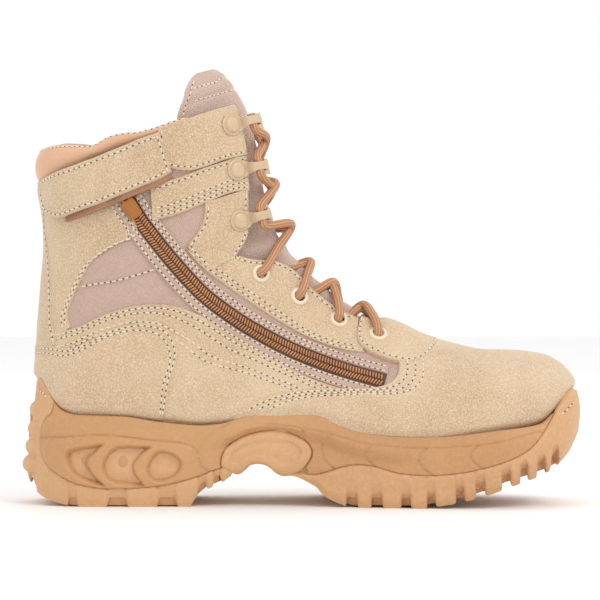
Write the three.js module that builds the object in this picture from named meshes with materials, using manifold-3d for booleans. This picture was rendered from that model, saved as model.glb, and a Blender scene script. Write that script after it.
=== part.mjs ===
// A desert combat boot with a side zip, for the left foot, as an assembly of separate solids in millimetres.
// Work frame: x from the heel's back to the toe, y from the inner (medial, -) to the outer (lateral, +) side,
// z up from the floor. The exported group is shifted so that its origin is under the middle of the boot.
import * as THREE from "three";
import { mergeVertices } from "three/addons/utils/BufferGeometryUtils.js";
import Module from "manifold-3d";

const wasm = await Module();
wasm.setup();

// ---- Driving sizes, mm ----
const WALL = 2.6; // suede or nylon with its lining
const GAP = 0.3; // between pieces that meet
const TREAD_DEPTH = 5.2; // lug height
const CUP_SKIN = 3; // midsole left between the upper and the arch bridge
const INSOLE_THICK = 4;
const LACE_RADIUS = 2.1;
const ZIP_WIDTH = 6.8;
const ZIP_THICK = 1.4;
const MIDDLE = { x: 156.8, y: -3.1 }; // of the boot's outer box in the work frame
const MEDIAL = -1;
const LATERAL = 1;

// ---- Tables and curves ----
// rows(...) gives each row of a table its column names.
const rows = (columns, values) =>
  values.map((row) => Object.fromEntries(columns.map((name, i) => [name, row[i]])));

// The value of a column at a fractional row number, on a Catmull-Rom curve.
function byRow(table, column, at) {
  const last = table.length - 1;
  const i = Math.min(last - 1, Math.max(0, Math.floor(at)));
  const f = at - i;
  const pick = (k) => table[Math.min(last, Math.max(0, k))][column];
  const [a, b, c, d] = [
    i > 0 ? pick(i - 1) : 2 * pick(0) - pick(1),
    pick(i),
    pick(i + 1),
    i + 2 <= last ? pick(i + 2) : 2 * pick(last) - pick(last - 1),
  ];
  return b + 0.5 * f * (c - a + f * (2 * a - 5 * b + 4 * c - d + f * (3 * (b - c) + d - a)));
}

// The value of a column where another column, which only rises, has a given value, with no overshoot.
function byKey(table, key, column, at) {
  const last = table.length - 1;
  if (at <= table[0][key]) return table[0][column];
  if (at >= table[last][key]) return table[last][column];
  const i = table.findIndex((row) => row[key] > at) - 1;
  const slope = (k) => (table[k + 1][column] - table[k][column]) / (table[k + 1][key] - table[k][key]);
  const tangent = (k) => {
    if (k === 0) return slope(0);
    if (k === last) return slope(last - 1);
    const [before, after] = [slope(k - 1), slope(k)];
    return before * after <= 0 ? 0 : (2 * before * after) / (before + after);
  };
  const width = table[i + 1][key] - table[i][key];
  const f = (at - table[i][key]) / width;
  const h = (a, b, c, d) => ((a * f + b) * f + c) * f + d;
  return (
    h(2, -3, 0, 1) * table[i][column] +
    h(1, -2, 1, 0) * width * tangent(i) +
    h(-2, 3, 0, 0) * table[i + 1][column] +
    h(1, -1, 0, 0) * width * tangent(i + 1)
  );
}

const vec = (x, y, z) => new THREE.Vector3(x, y, z);
const steps = (from, to, count) =>
  Array.from({ length: count + 1 }, (_, i) => from + ((to - from) * i) / count);
const upTo = (count) => Array.from({ length: count }, (_, i) => i);
const ease = (low, high, value) => THREE.MathUtils.smoothstep(value, low, high);

// ---- Solids ----
function solidOf(geometry) {
  const bare = new THREE.BufferGeometry();
  const source = geometry.index ? geometry.toNonIndexed() : geometry;
  bare.setAttribute("position", source.getAttribute("position"));
  const merged = mergeVertices(bare, 1e-4);
  return new wasm.Manifold(
    new wasm.Mesh({
      numProp: 3,
      vertProperties: merged.attributes.position.array,
      triVerts: new Uint32Array(merged.index.array),
    }),
  );
}

function geometryOf(solid) {
  const mesh = solid.getMesh();
  const geometry = new THREE.BufferGeometry();
  const positions = new Float32Array(mesh.numVert * 3);
  for (let i = 0; i < mesh.numVert; i++) {
    positions.set(mesh.vertProperties.subarray(i * mesh.numProp, i * mesh.numProp + 3), 3 * i);
  }
  geometry.setAttribute("position", new THREE.BufferAttribute(positions, 3));
  geometry.setIndex(new THREE.BufferAttribute(mesh.triVerts, 1));
  geometry.computeVertexNormals();
  return geometry;
}

// The solid inside triangles that close on themselves, whichever way they all face.
function closedOf(points, faces) {
  const geometry = new THREE.BufferGeometry().setFromPoints(points);
  geometry.setIndex(faces);
  const solid = solidOf(geometry);
  if (solid.volume() > 0) return solid;
  geometry.setIndex(faces.slice().reverse());
  return solidOf(geometry);
}

// The two triangles of a quad, without those that have two corners in one place.
const quadFaces = (a, b, c, d) =>
  [[a, b, c], [a, c, d]].filter(([p, q, r]) => p !== q && q !== r && r !== p).flat();

// The walls between rings of points, each ring closed on itself.
const wallFaces = (ringCount, count) =>
  upTo(ringCount - 1).flatMap((r) =>
    upTo(count).flatMap((i) => {
      const [a, b] = [r * count + i, r * count + ((i + 1) % count)];
      return quadFaces(a, b, b + count, a + count);
    }),
  );

// A closed skin through rings of points, with a fan over each end.
function loftOf(rings) {
  const count = rings[0].length;
  const points = rings.flat();
  const faces = wallFaces(rings.length, count);
  [rings[0], rings[rings.length - 1]].forEach((ring, end) => {
    points.push(ring.reduce((sum, p) => sum.add(p), vec(0, 0, 0)).divideScalar(count));
    const base = end * (rings.length - 1) * count;
    for (let i = 0; i < count; i++) {
      const [a, b] = [base + i, base + ((i + 1) % count)];
      faces.push(points.length - 1, ...(end ? [a, b] : [b, a]));
    }
  });
  return closedOf(points, faces);
}

// A skin through rings whose ends are ladders of quads: point i of a ring's first half faces point count - i.
function ladderOf(rings) {
  const count = rings[0].length;
  const half = count / 2;
  const faces = wallFaces(rings.length, count);
  [0, rings.length - 1].forEach((r) => {
    for (let i = 0; i < half; i++) {
      const at = (k) => r * count + ((k + count) % count);
      const quad = quadFaces(at(i), at(-i), at(-i - 1), at(i + 1));
      faces.push(...(r ? quad.reverse() : quad));
    }
  });
  return closedOf(rings.flat(), faces);
}

// A sheet between two grids of points that have the same rows and columns.
function sheetOf(outer, inner) {
  const rings = outer.map((row, r) => [...row, ...inner[r].slice().reverse()]);
  const columns = outer[0].length;
  const faces = wallFaces(rings.length, 2 * columns);
  [0, rings.length - 1].forEach((r) => {
    for (let i = 0; i + 1 < columns; i++) {
      const at = (k) => r * 2 * columns + k;
      const quad = quadFaces(at(i), at(2 * columns - 1 - i), at(2 * columns - 2 - i), at(i + 1));
      faces.push(...(r ? quad.reverse() : quad));
    }
  });
  return closedOf(rings.flat(), faces);
}

// A prism across the boot whose outline is given in the side view, as [x, z] points.
function acrossBoot(outline, from = -90, to = 90) {
  const shape = new THREE.Shape(outline.map(([x, z]) => new THREE.Vector2(x, z)));
  const geometry = new THREE.ExtrudeGeometry(shape, { depth: to - from, bevelEnabled: false });
  geometry.rotateX(Math.PI / 2);
  geometry.translate(0, to, 0);
  return solidOf(geometry);
}

// A tube with flat sides along a smooth curve through points.
function tubeOf(points, radius, segments, sides) {
  const centre = new THREE.Vector2();
  const corner = (k) => new THREE.Vector2(radius, 0).rotateAround(centre, (2 * Math.PI * k) / sides);
  const shape = new THREE.Shape(upTo(sides).map(corner));
  const path = new THREE.CatmullRomCurve3(points, false, "centripetal");
  return solidOf(new THREE.ExtrudeGeometry(shape, { extrudePath: path, steps: segments }));
}

// ---- The last: a fan of sections from above the collar, round the heel, to the toe ----
// Each section runs from a back or bottom point (bx, bz) to a front or top point (fx, fz).
// med and lat are its half widths, widest at the share `wide` of the way, low and top its squareness,
// base and ridge the y of its two ends.
const LAST = rows(
  ["bx", "bz", "fx", "fz", "med", "lat", "wide", "low", "top", "base", "ridge"],
  [
    [16, 210, 111, 242.5, 33, 33, 0.5, 2.1, 2.2, 0, 0],
    [11.5, 180, 126, 223, 39, 39, 0.48, 2.1, 2.2, 0, 0],
    [14.5, 158, 134, 196, 38.5, 38.5, 0.46, 2.1, 2.2, 0, 0],
    [15, 140, 139, 168, 37.5, 37.5, 0.43, 2.0, 2.2, 0, 0],
    [13.5, 122, 145, 150, 37, 37.5, 0.4, 2.0, 2.15, 0, 0],
    [12, 103, 152, 139.5, 37, 37.5, 0.36, 2.1, 2.1, 0, -0.5],
    [11, 83, 161, 130, 36.5, 37.5, 0.32, 2.2, 2.05, 0, -1],
    [11, 61, 171.5, 120, 36, 37.5, 0.29, 2.3, 2, 0, -2],
    [21, 41, 184, 110.5, 35, 38, 0.27, 2.4, 2, 0, -3],
    [62, 37, 197, 103, 34.5, 39, 0.26, 2.6, 2, 0, -4],
    [107, 38, 212, 97.2, 37, 42, 0.25, 2.8, 2, 0, -4.5],
    [151, 34, 228, 90, 42.5, 45.5, 0.25, 3, 2.05, 0, -5],
    [190, 27, 243, 85.8, 47, 48, 0.26, 3, 2.1, 0, -5.5],
    [222, 25, 257, 82.9, 48, 46.5, 0.28, 3, 2.2, -1.5, -6],
    [249, 27.5, 271, 82.3, 45, 42, 0.3, 2.9, 2.3, -4, -7],
    [272, 32, 284, 81.4, 39, 36, 0.33, 2.8, 2.4, -6.5, -8],
    [289, 38, 294, 79, 31, 29, 0.37, 2.6, 2.4, -8.5, -9],
    [300, 44.5, 302, 73.5, 21.5, 20.5, 0.42, 2.3, 2.3, -9.5, -9.5],
    [306, 51, 307, 67, 12, 11.5, 0.48, 2.1, 2.1, -10, -10],
    [308.8, 57.5, 309, 60.5, 2.2, 2.2, 0.5, 2, 2, -10, -10],
  ],
);
const COLLAR = 1; // the row at the upper's top edge
const TOE_ROW = LAST.length - 1;

const sectionAt = (u) =>
  Object.fromEntries(Object.keys(LAST[0]).map((column) => [column, byRow(LAST, column, u)]));

// A point of a section: share t from its back point to its front point, and the full half width there.
function sectionPoint(s, t, side) {
  const reach = t > s.wide ? (t - s.wide) / (1 - s.wide) : (s.wide - t) / s.wide;
  const power = t > s.wide ? s.top : s.low;
  const across = Math.pow(Math.max(0, 1 - Math.pow(Math.min(1, reach), power)), 1 / power);
  const half = side < 0 ? -s.med : s.lat;
  return vec(
    s.bx + (s.fx - s.bx) * t,
    s.base + (s.ridge - s.base) * t + half * across,
    s.bz + (s.fz - s.bz) * t,
  );
}

// Half a section, from back to front, as points at even lengths along it.
function halfSection(s, side, count) {
  const fine = steps(0, Math.PI, 120).map((angle) => {
    const along = -Math.cos(angle);
    const power = 2 / (along > 0 ? s.top : s.low);
    const t = s.wide + (along > 0 ? 1 - s.wide : s.wide) * Math.sign(along) * Math.abs(along) ** power;
    return sectionPoint(s, t, side);
  });
  const lengths = [0];
  for (let i = 1; i < fine.length; i++) lengths.push(lengths[i - 1] + fine[i].distanceTo(fine[i - 1]));
  return steps(0, lengths[lengths.length - 1], count).map((length) => {
    let i = lengths.findIndex((l) => l >= length - 1e-9);
    if (i < 1) i = 1;
    const f = (length - lengths[i - 1]) / Math.max(1e-9, lengths[i] - lengths[i - 1]);
    return fine[i - 1].clone().lerp(fine[i], f);
  });
}

// A whole section: back point, medial side, front point, lateral side.
function ringAt(u, count) {
  const s = sectionAt(u);
  const medial = halfSection(s, MEDIAL, count / 2);
  const lateral = halfSection(s, LATERAL, count / 2);
  return [...medial, ...lateral.slice(1, -1).reverse()];
}

// Outward normals of a grid of rings, from its neighbours.
function normalsOf(rings) {
  const count = rings[0].length;
  return rings.map((ring, r) =>
    ring.map((_, i) => {
      const along = rings[Math.min(rings.length - 1, r + 1)][i].clone().sub(rings[Math.max(0, r - 1)][i]);
      const around = ring[(i + 1) % count].clone().sub(ring[(i + count - 1) % count]);
      return around.cross(along).normalize();
    }),
  );
}

function offsetRings(rings, distance) {
  const normals = normalsOf(rings);
  const middle = rings[4].reduce((sum, p) => sum.add(p), vec(0, 0, 0)).divideScalar(rings[4].length);
  const outward = Math.sign(normals[4][0].dot(rings[4][0].clone().sub(middle)));
  return rings.map((ring, r) =>
    ring.map((p, i) => p.clone().addScaledVector(normals[r][i], outward * distance)),
  );
}

const AROUND = 20;
const LAST_ROWS = [...steps(0, 16, 16), 17, 18, TOE_ROW];
const lastRings = LAST_ROWS.map((u) => ringAt(u, AROUND));
const lastSolid = (distance, rings = lastRings) => loftOf(offsetRings(rings, distance));
// The lining's side is plainer than the outside.
const liningRings = [...steps(0, 16, 12), 17.4, TOE_ROW].map((u) => ringAt(u, 16));

// A point on one side of the upper, by its place in the side view, and the outward normal there.
function onSide(x, z, side, lift = 0) {
  const surfaceY = (px, pz) => {
    let [low, high] = [0, TOE_ROW];
    const isPast = (u) => {
      const s = sectionAt(u);
      return (s.fx - s.bx) * (pz - s.bz) - (s.fz - s.bz) * (px - s.bx) < 0;
    };
    for (let i = 0; i < 26; i++) {
      const u = (low + high) / 2;
      if (isPast(u)) low = u;
      else high = u;
    }
    const s = sectionAt(low);
    const [dx, dz] = [s.fx - s.bx, s.fz - s.bz];
    const t = ((px - s.bx) * dx + (pz - s.bz) * dz) / (dx * dx + dz * dz);
    return sectionPoint(s, t, side).y;
  };
  const y = surfaceY(x, z);
  const slopeX = (surfaceY(x + 0.5, z) - surfaceY(x - 0.5, z)) * side;
  const slopeZ = (surfaceY(x, z + 0.5) - surfaceY(x, z - 0.5)) * side;
  const normal = vec(-slopeX, side, -slopeZ).normalize();
  return { point: vec(x, y, z).addScaledVector(normal, lift), normal };
}

// ---- The sole: plan outline, side-view heights and the lines where its pieces part ----
// Half widths by angle round the outline: 0 at the heel's back, 180 at the toe.
const OUTLINE = rows(
  ["turn", "med", "lat"],
  [
    [0, 0, 0],
    [12, 17, 17],
    [25, 31, 31],
    [40, 38.5, 38.5],
    [60, 39.5, 41],
    [80, 38, 43],
    [95, 42.5, 47],
    [110, 50, 52],
    [122, 53, 53],
    [134, 51.5, 48.5],
    [146, 45, 41.5],
    [158, 34.5, 31.5],
    [169, 19.5, 18.5],
    [180, 0, 0],
  ],
);
// The centre line swings to the medial side at the toe.
const centreY = (x) => -10 * ease(185, 330, x);

// Height of the sole's lower and upper edges along the boot.
const SOLE_LOW = rows(
  ["x", "z"],
  [
    [0, 17.5],
    [5, 12],
    [10, 8],
    [17, 4],
    [24, 2],
    [34, 0],
    [96, 0],
    [100, 5],
    [106, 9.5],
    [112, 11.8],
    [122, 17.5],
    [151, 17.2],
    [166, 11],
    [170, 6.5],
    [178, 2.4],
    [186, 0],
    [218, 0],
    [236, 2.4],
    [252, 6],
    [270, 12],
    [290, 19],
    [312, 30],
  ],
);
const SOLE_TOP = rows(
  ["x", "z"],
  [
    [6, 63],
    [12, 67],
    [17, 63.5],
    [22, 56],
    [27, 51.5],
    [34, 49.8],
    [60, 49],
    [80, 46],
    [104, 44],
    [118, 45],
    [132, 48.6],
    [150, 50],
    [166, 48.8],
    [180, 43.5],
    [195, 39.6],
    [210, 38],
    [234, 38.5],
    [262, 41.5],
    [286, 44.6],
    [294, 50.5],
    [302, 59],
    [307, 63],
    [311, 62],
  ],
);
// How the side wall leans: share of height, start and end of the outline in x, and how much it is drawn in.
const WALL_LEAN = rows(
  ["share", "back", "front", "inset"],
  [
    [0, 6, 300, 4],
    [0.12, 4, 306, 1.8],
    [0.35, 4.6, 311, 0],
    [0.7, 7.2, 312, 0.6],
    [1, 9, 310.5, 3],
  ],
);

// A point of the sole's side wall: turn in degrees round the outline, share of the height.
function solePoint(turn, share) {
  const lean = (column) => byKey(WALL_LEAN, "share", column, share);
  const folded = turn > 180 ? 360 - turn : turn;
  const [back, front] = [lean("back"), lean("front")];
  const x = back + ((front - back) * (1 - Math.cos((folded * Math.PI) / 180))) / 2;
  const column = turn > 180 ? "lat" : "med";
  const half = byKey(OUTLINE, "turn", column, folded);
  const shrink = 1 - lean("inset") / 48;
  const y = centreY(x) + (turn > 180 ? 1 : -1) * half * shrink;
  const low = byKey(SOLE_LOW, "x", "z", x);
  const high = byKey(SOLE_TOP, "x", "z", x);
  return vec(x, y, low + (high - low) * share);
}

function soleSolid() {
  const turns = [...steps(0, 24, 3), ...steps(35, 155, 12), ...steps(163, 180, 3)];
  const all = [...turns, ...turns.slice(1, -1).reverse().map((turn) => 360 - turn)];
  const shares = [0, 0.12, 0.35, 0.7, 1];
  const rings = shares.map((share) => all.map((turn) => solePoint(turn, share)));
  return ladderOf(rings);
}

// The line between midsole and outsole in the side view, at the heel and at the forefoot.
const HEEL_LINE = [
  [24, 90],
  [21.5, 55],
  [17, 48],
  [14.3, 42],
  [13.8, 32],
  [17.5, 23.6],
  [24.5, 17.7],
  [35, 12.8],
  [49, 10.3],
  [66, 10.4],
  [82, 12],
  [98, 15.7],
  [115, 21.2],
  [122, 18],
];
const TOE_LINE = [
  [150, 18],
  [158, 17.6],
  [167, 17.7],
  [180, 22],
  [190, 23.2],
  [199, 21.8],
  [209, 19],
  [220, 17.9],
  [232, 18.1],
  [246, 19.8],
  [256, 22],
  [267, 25.2],
  [277, 29.6],
  [283.5, 34.6],
  [288, 40.5],
  [292, 47],
  [296, 53],
  [302, 62],
  [308, 90],
];
// The arch bridge is a D that leans forward, with an arched underside.
const BRIDGE = [
  [114.5, 21.4],
  [113.8, 25.5],
  [115.4, 30.6],
  [118.8, 34.2],
  [125.6, 38.2],
  [133.4, 40.6],
  [142.7, 41.6],
  [151, 40.2],
  [158.3, 37],
  [162.4, 32.4],
  [162.8, 28.2],
  [160.6, 23.8],
  [157, 19.6],
  [151, 16.9],
  [147, 16.6],
  [143.8, 18],
  [140.8, 20.6],
  [138.2, 22.3],
  [134.4, 23.2],
  [129.6, 22.6],
  [127.2, 21],
  [125, 18.3],
  [121.5, 17.6],
];

// What is open below the bridge, up into its own region.
const UNDER_BRIDGE = [
  [118, -20],
  [118.5, 20],
  [127, 25],
  [134, 26.5],
  [141, 25],
  [150, 19],
  [154, -20],
];

// The same outline moved outwards, or inwards with a negative distance.
function grown(outline, distance) {
  const count = outline.length;
  const area = outline.reduce((sum, [x, z], i) => {
    const [nx, nz] = outline[(i + 1) % count];
    return sum + x * nz - nx * z;
  }, 0);
  return outline.map(([x, z], i) => {
    const [ax, az] = outline[(i + count - 1) % count];
    const [bx, bz] = outline[(i + 1) % count];
    const length = Math.hypot(bx - ax, bz - az);
    const turn = (Math.sign(area) * distance) / length;
    return [x + (bz - az) * turn, z - (bx - ax) * turn];
  });
}

// Region of the side view behind and under a parting line, and the region on its other side.
const heelRegion = (line) => [...line, [122, -20], [-40, -20], [-40, 90]];
const toeRegion = (line) => [...line, [340, 90], [340, -20], [150, -20]];

// ---- Tread: grooves cut from the underside ----
// Each groove is a wedge across one side of the boot: where it starts and ends, and its width.
const HEEL_GROOVES = rows(
  ["x", "skew", "width"],
  [
    [9, 0, 4],
    [26, 4, 6],
    [45, 5, 13],
    [74, 4, 13],
    [99, -3, 8],
    [111, -2, 4],
  ],
);
const FORE_GROOVES = rows(
  ["x", "skew", "width"],
  [
    [191, 6, 7],
    [205, 8, 7],
    [217, 8, 6.5],
    [229.5, 7, 6],
    [242.5, 6, 5.5],
    [254.5, 5, 5],
    [266, 3, 4.6],
    [276.5, 2, 4.4],
    [286, 1, 4],
    [294, 0, 3.2],
  ],
);

// A groove with sloping walls, from y near the middle out past one edge, following the rise of the sole.
function grooveSolid({ x, skew, width }, side, inner) {
  const floorAt = (px) => byKey(SOLE_LOW, "x", "z", px) + TREAD_DEPTH;
  const section = (y, shift) => {
    const [top, bottom] = [width * 0.34, width * 0.62];
    const middle = x + shift;
    return [
      vec(middle - bottom, y, floorAt(middle) - TREAD_DEPTH - 6),
      vec(middle - top, y, floorAt(middle)),
      vec(middle + top, y, floorAt(middle)),
      vec(middle + bottom, y, floorAt(middle) - TREAD_DEPTH - 6),
    ];
  };
  return loftOf([section(side * inner, skew), section(side * 70, 0)]);
}

// A channel along the boot, bent through points [x, y], cut into the tread.
function channelSolid(points, width) {
  const rings = points.map(([x, y]) => {
    const floor = byKey(SOLE_LOW, "x", "z", x) + TREAD_DEPTH;
    return [
      vec(x, y - width / 2, floor - TREAD_DEPTH - 6),
      vec(x, y - width * 0.32, floor),
      vec(x, y + width * 0.32, floor),
      vec(x, y + width / 2, floor - TREAD_DEPTH - 6),
    ];
  });
  return loftOf(rings);
}

const cutAll = (solid, cutters) => cutters.reduce((kept, cutter) => kept.subtract(cutter), solid);

// Rounded ribs stacked up the back of the heel, and how far each stands out.
const HEEL_RIBS = rows(
  ["z", "proud", "radius"],
  [
    [52.4, 2.1, 4.8],
    [41.8, 1.9, 4.8],
    [31.7, 1.8, 4.8],
    [22, 2.6, 4.6],
  ],
);

// ---- Sole pieces ----
const sole = soleSolid();
const lastWithGap = lastSolid(GAP);
const lastWithSkin = lastSolid(GAP + CUP_SKIN);

function heelOutsole() {
  const grooves = HEEL_GROOVES.flatMap((groove) => [
    grooveSolid(groove, MEDIAL, groove.x < 20 ? -30 : 9),
    grooveSolid(groove, LATERAL, groove.x < 20 ? -30 : 9),
  ]);
  const channel = channelSolid(
    [
      [30, 0],
      [52, 4],
      [76, -4],
      [104, 0],
    ],
    7,
  );
  const region = acrossBoot(heelRegion(HEEL_LINE)).subtract(acrossBoot(grown(BRIDGE, GAP)));
  const ribs = HEEL_RIBS.map(({ z, proud, radius }) => {
    const share = (z - 12) / 48;
    const bend = steps(-34, 34, 8).map((turn) => {
      const wall = solePoint(turn < 0 ? 360 + turn : turn, share);
      const out = vec(-Math.cos((turn * Math.PI) / 60), Math.sin((-turn * Math.PI) / 60), 0);
      return vec(wall.x, wall.y, z).addScaledVector(out, proud - radius);
    });
    return tubeOf(bend, radius, 8, 8);
  });
  const ribbed = ribs.reduce((whole, rib) => whole.add(rib), sole).intersect(region);
  return cutAll(ribbed.subtract(lastWithGap), [...grooves, channel]);
}

function forefootOutsole() {
  const grooves = FORE_GROOVES.flatMap((groove) => [
    grooveSolid(groove, MEDIAL, 16),
    grooveSolid(groove, LATERAL, 16),
  ]);
  const middle = FORE_GROOVES.slice(1, -1).map(({ x, width }) =>
    grooveSolid({ x: x + 7, skew: -8, width }, MEDIAL, -11).intersect(
      acrossBoot([[100, -20], [340, -20], [340, 60], [100, 60]], centreY(x) - 11, centreY(x) + 11),
    ),
  );
  const channels = [-15, 15].map((y) =>
    channelSolid(
      steps(176, 290, 5).map((x) => [x, centreY(x) + y * (1 - 0.45 * ease(240, 300, x))]),
      5,
    ),
  );
  const region = acrossBoot(toeRegion(TOE_LINE)).subtract(acrossBoot(grown(BRIDGE, GAP)));
  const tread = [...grooves, ...middle, ...channels];
  return cutAll(sole.intersect(region).subtract(lastWithGap), tread);
}

// Windows moulded into each side of the heel, as leaning crescents in the side view.
const WINDOWS = [
  [
    ...[[38, 31], [44, 33.6], [53, 34.6], [49, 29.5], [47.5, 25.5]],
    ...[[50, 20.5], [55, 15.6], [46, 17], [40, 21], [37.5, 26]],
  ],
  [
    ...[[60, 27], [64, 32], [70, 34], [79, 33.2], [75, 29], [73.5, 25.4]],
    ...[[75.5, 20.5], [79, 15.8], [70, 15.8], [63, 18.6], [60, 22.5]],
  ],
  [
    ...[[83, 29.5], [87, 32.4], [92, 32], [98, 28.2], [101.5, 23.4]],
    ...[[98.5, 19.6], [92, 17], [86, 17.6], [82.5, 22]],
  ],
];

function midsoleSolid() {
  const block = sole
    .subtract(acrossBoot(heelRegion(HEEL_LINE.map(([x, z]) => [x + GAP, z + GAP]))))
    .subtract(acrossBoot(toeRegion(TOE_LINE.map(([x, z]) => [x - GAP, z + GAP]))))
    .subtract(acrossBoot(UNDER_BRIDGE));
  const opened = block.subtract(acrossBoot(grown(BRIDGE, GAP)));
  const skin = sole
    .intersect(lastWithSkin)
    .intersect(acrossBoot([[105, 15], [105, 44], [172, 44], [172, 15]]));
  const windows = WINDOWS.flatMap((outline) => [
    acrossBoot(outline, -90, -30),
    acrossBoot(outline, 31, 90),
  ]);
  return cutAll(opened.add(skin), windows).subtract(lastWithGap);
}

function archBridge() {
  const proud = sole.scale([1, 1.012, 1]);
  const inner = [
    [118.5, 26],
    [121, 31],
    [129, 35],
    [141, 36.6],
    [152, 35.6],
    [157.5, 31],
    [156, 26],
    [150, 22.5],
    [146, 22.8],
    [140.5, 25.6],
    [134, 27],
    [127, 25.6],
    [122, 22.6],
  ];
  const dishes = [acrossBoot(inner, -90, -35.5), acrossBoot(inner, 40.5, 90)];
  return cutAll(
    proud.intersect(acrossBoot(grown(BRIDGE, -0.05))).subtract(lastSolid(2 * GAP + CUP_SKIN)),
    dishes,
  );
}

// ---- Upper ----
// Half width of the throat between the facings, by row of the last.
const THROAT = rows(
  ["row", "half"],
  [
    [0, 20],
    [1, 20.5],
    [2, 21],
    [3, 22.5],
    [4, 25],
    [4.5, 28],
    [4.9, 25],
    [5.3, 18],
    [6, 14],
    [7, 12.5],
    [8, 11.5],
    [9, 10],
    [9.65, 8.5],
  ],
);
const THROAT_END = 9.65;

function throatCutter() {
  const rings = [0, 1, 2, 3, 3.6, 4, 4.3, 4.6, 4.9, 5.3, 6, 7, 8, 9, THROAT_END].map((u) => {
    const s = sectionAt(u);
    const half = byKey(THROAT, "row", "half", u);
    const away = vec(s.fx - s.bx, 0, s.fz - s.bz).normalize();
    const front = vec(s.fx, s.ridge, s.fz);
    const corner = (out, y) => front.clone().addScaledVector(away, out).add(vec(0, y, 0));
    return [corner(12, -half), corner(12, half), corner(-26, half), corner(-26, -half)];
  });
  return loftOf(rings);
}

// Everything above the collar's edge, as a half space in the side view.
function aboveCollar() {
  const s = sectionAt(COLLAR);
  const slope = (s.fz - s.bz) / (s.fx - s.bx);
  return acrossBoot([
    [s.bx - 40, s.bz - 40 * slope],
    [s.fx - 8, s.fz - 8 * slope],
    [s.fx + 4, s.fz - 6],
    [s.fx + 60, s.fz - 6],
    [s.fx + 60, 300],
    [s.bx - 40, 300],
  ]);
}

// The opening underneath, inside the margin that is lasted under.
function underOpening() {
  const inset = 13;
  const turns = steps(12, 168, 18);
  const inside = (turn, shift) => {
    const wall = solePoint(turn, 0.7);
    return new THREE.Vector2(wall.x, wall.y + shift);
  };
  const medial = turns.map((turn) => inside(turn, inset));
  const lateral = turns.map((turn) => inside(360 - turn, -inset));
  const loop = [...medial.slice(2, -2), ...lateral.slice(2, -2).reverse()];
  const geometry = new THREE.ExtrudeGeometry(new THREE.Shape(loop), { depth: 52, bevelEnabled: false });
  return solidOf(geometry);
}

function upperSolid() {
  const shell = lastSolid(0).subtract(lastSolid(-WALL, liningRings));
  const eyelets = eyeletPlaces.map(({ x, z, side }) => {
    const { point, normal } = onSide(x, z, side);
    const [inner, outer] = [-9, 5].map((lift) => point.clone().addScaledVector(normal, lift));
    return rodOf(inner, outer, EYELET_BARREL + 2 * GAP, 8);
  });
  return cutAll(shell, [aboveCollar(), throatCutter(), underOpening(), ...eyelets]);
}

function rodOf(from, to, radius, sides) {
  const geometry = new THREE.CylinderGeometry(radius, radius, from.distanceTo(to), sides);
  const turn = new THREE.Quaternion().setFromUnitVectors(vec(0, 1, 0), to.clone().sub(from).normalize());
  geometry.applyQuaternion(turn);
  geometry.translate(...from.clone().add(to).multiplyScalar(0.5).toArray());
  return solidOf(geometry);
}

// ---- Tongue: a padded sheet under the facings that swells out between them ----
const TONGUE_ROWS = [0.02, 0.1, 0.24, 0.5, 1, 1.6, 2.3, 3, 3.7, 4.3, 4.8, 5.4, 6.2, 7.4, 8.6, 9.8];
function tongueSolid() {
  const columns = 12;
  const face = (lift, thick) =>
    TONGUE_ROWS.map((u) => {
      const s = sectionAt(u);
      const rounding = Math.sqrt(1 - (1 - Math.min(1, u / 0.45 + 0.25)) ** 2);
      const reach = (0.14 + 0.15 * ease(0, 1, u) - 0.08 * ease(4, 9, u)) * (u < 0.45 ? rounding : 1);
      const half = byKey(THROAT, "row", "half", u);
      const end = ease(0, 0.35, u);
      return steps(-1, 1, columns).map((c) => {
        const side = c < 0 ? MEDIAL : LATERAL;
        const t = 1 - Math.abs(c) ** 1.7 * reach;
        const p = sectionPoint(s, t, side);
        const swell = (1 - ease(half * 0.35, half * 0.92, Math.abs(p.y - s.ridge))) * (1 - ease(8, 9.4, u));
        const centre = vec(s.bx + (s.fx - s.bx) * s.wide, 0, s.bz + (s.fz - s.bz) * s.wide);
        const inward = centre.sub(p).normalize();
        const edge = 2.5 + 5.7 * ease(0.2, 1.1, u);
        const depth = edge - swell * (edge - 0.8 + 2.4 * (1 - ease(0, 0.9, u)));
        return p.addScaledVector(inward, depth + (thick ? lift * (0.45 + 0.55 * end) : 0));
      });
    });
  return sheetOf(face(0, false), face(5.5, true));
}

// Height and half thickness of the padded collar along the boot.
const PAD = rows(
  ["x", "height", "thick"],
  [
    [11.5, 18, 5.6],
    [22, 14.8, 5.6],
    [34, 9, 5],
    [45, 5.4, 4.6],
    [58, 5.6, 4.2],
    [78, 4, 3.6],
    [100, 2.6, 2.6],
  ],
);

// ---- Padded collar: a roll that sits on the upper's top edge from the facings round the back ----
function collarPad() {
  const count = 80;
  const ring = ringAt(COLLAR, count);
  const above = ringAt(COLLAR - 0.25, count);
  const edge = sectionAt(COLLAR);
  const planeUp = vec(edge.bz - edge.fz, 0, edge.fx - edge.bx).normalize();
  const rings = steps(-28, 28, 28).map((place) => {
    const index = (place + count) % count;
    const p = ring[index];
    const up = above[index].clone().sub(p).normalize();
    const next = ring[(index + 1) % count].clone().sub(ring[(index + count - 1) % count]);
    const out = next.cross(planeUp).normalize();
    const height = byKey(PAD, "x", "height", p.x);
    const thick = byKey(PAD, "x", "thick", p.x);
    return upTo(8).map((k) => {
      const angle = (k * Math.PI) / 4;
      return p
        .clone()
        .addScaledVector(up, 2 * GAP + (height / 2) * (1 + Math.sin(angle)))
        .addScaledVector(out, thick * Math.cos(angle) - WALL);
    });
  });
  return loftOf(rings);
}

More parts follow.
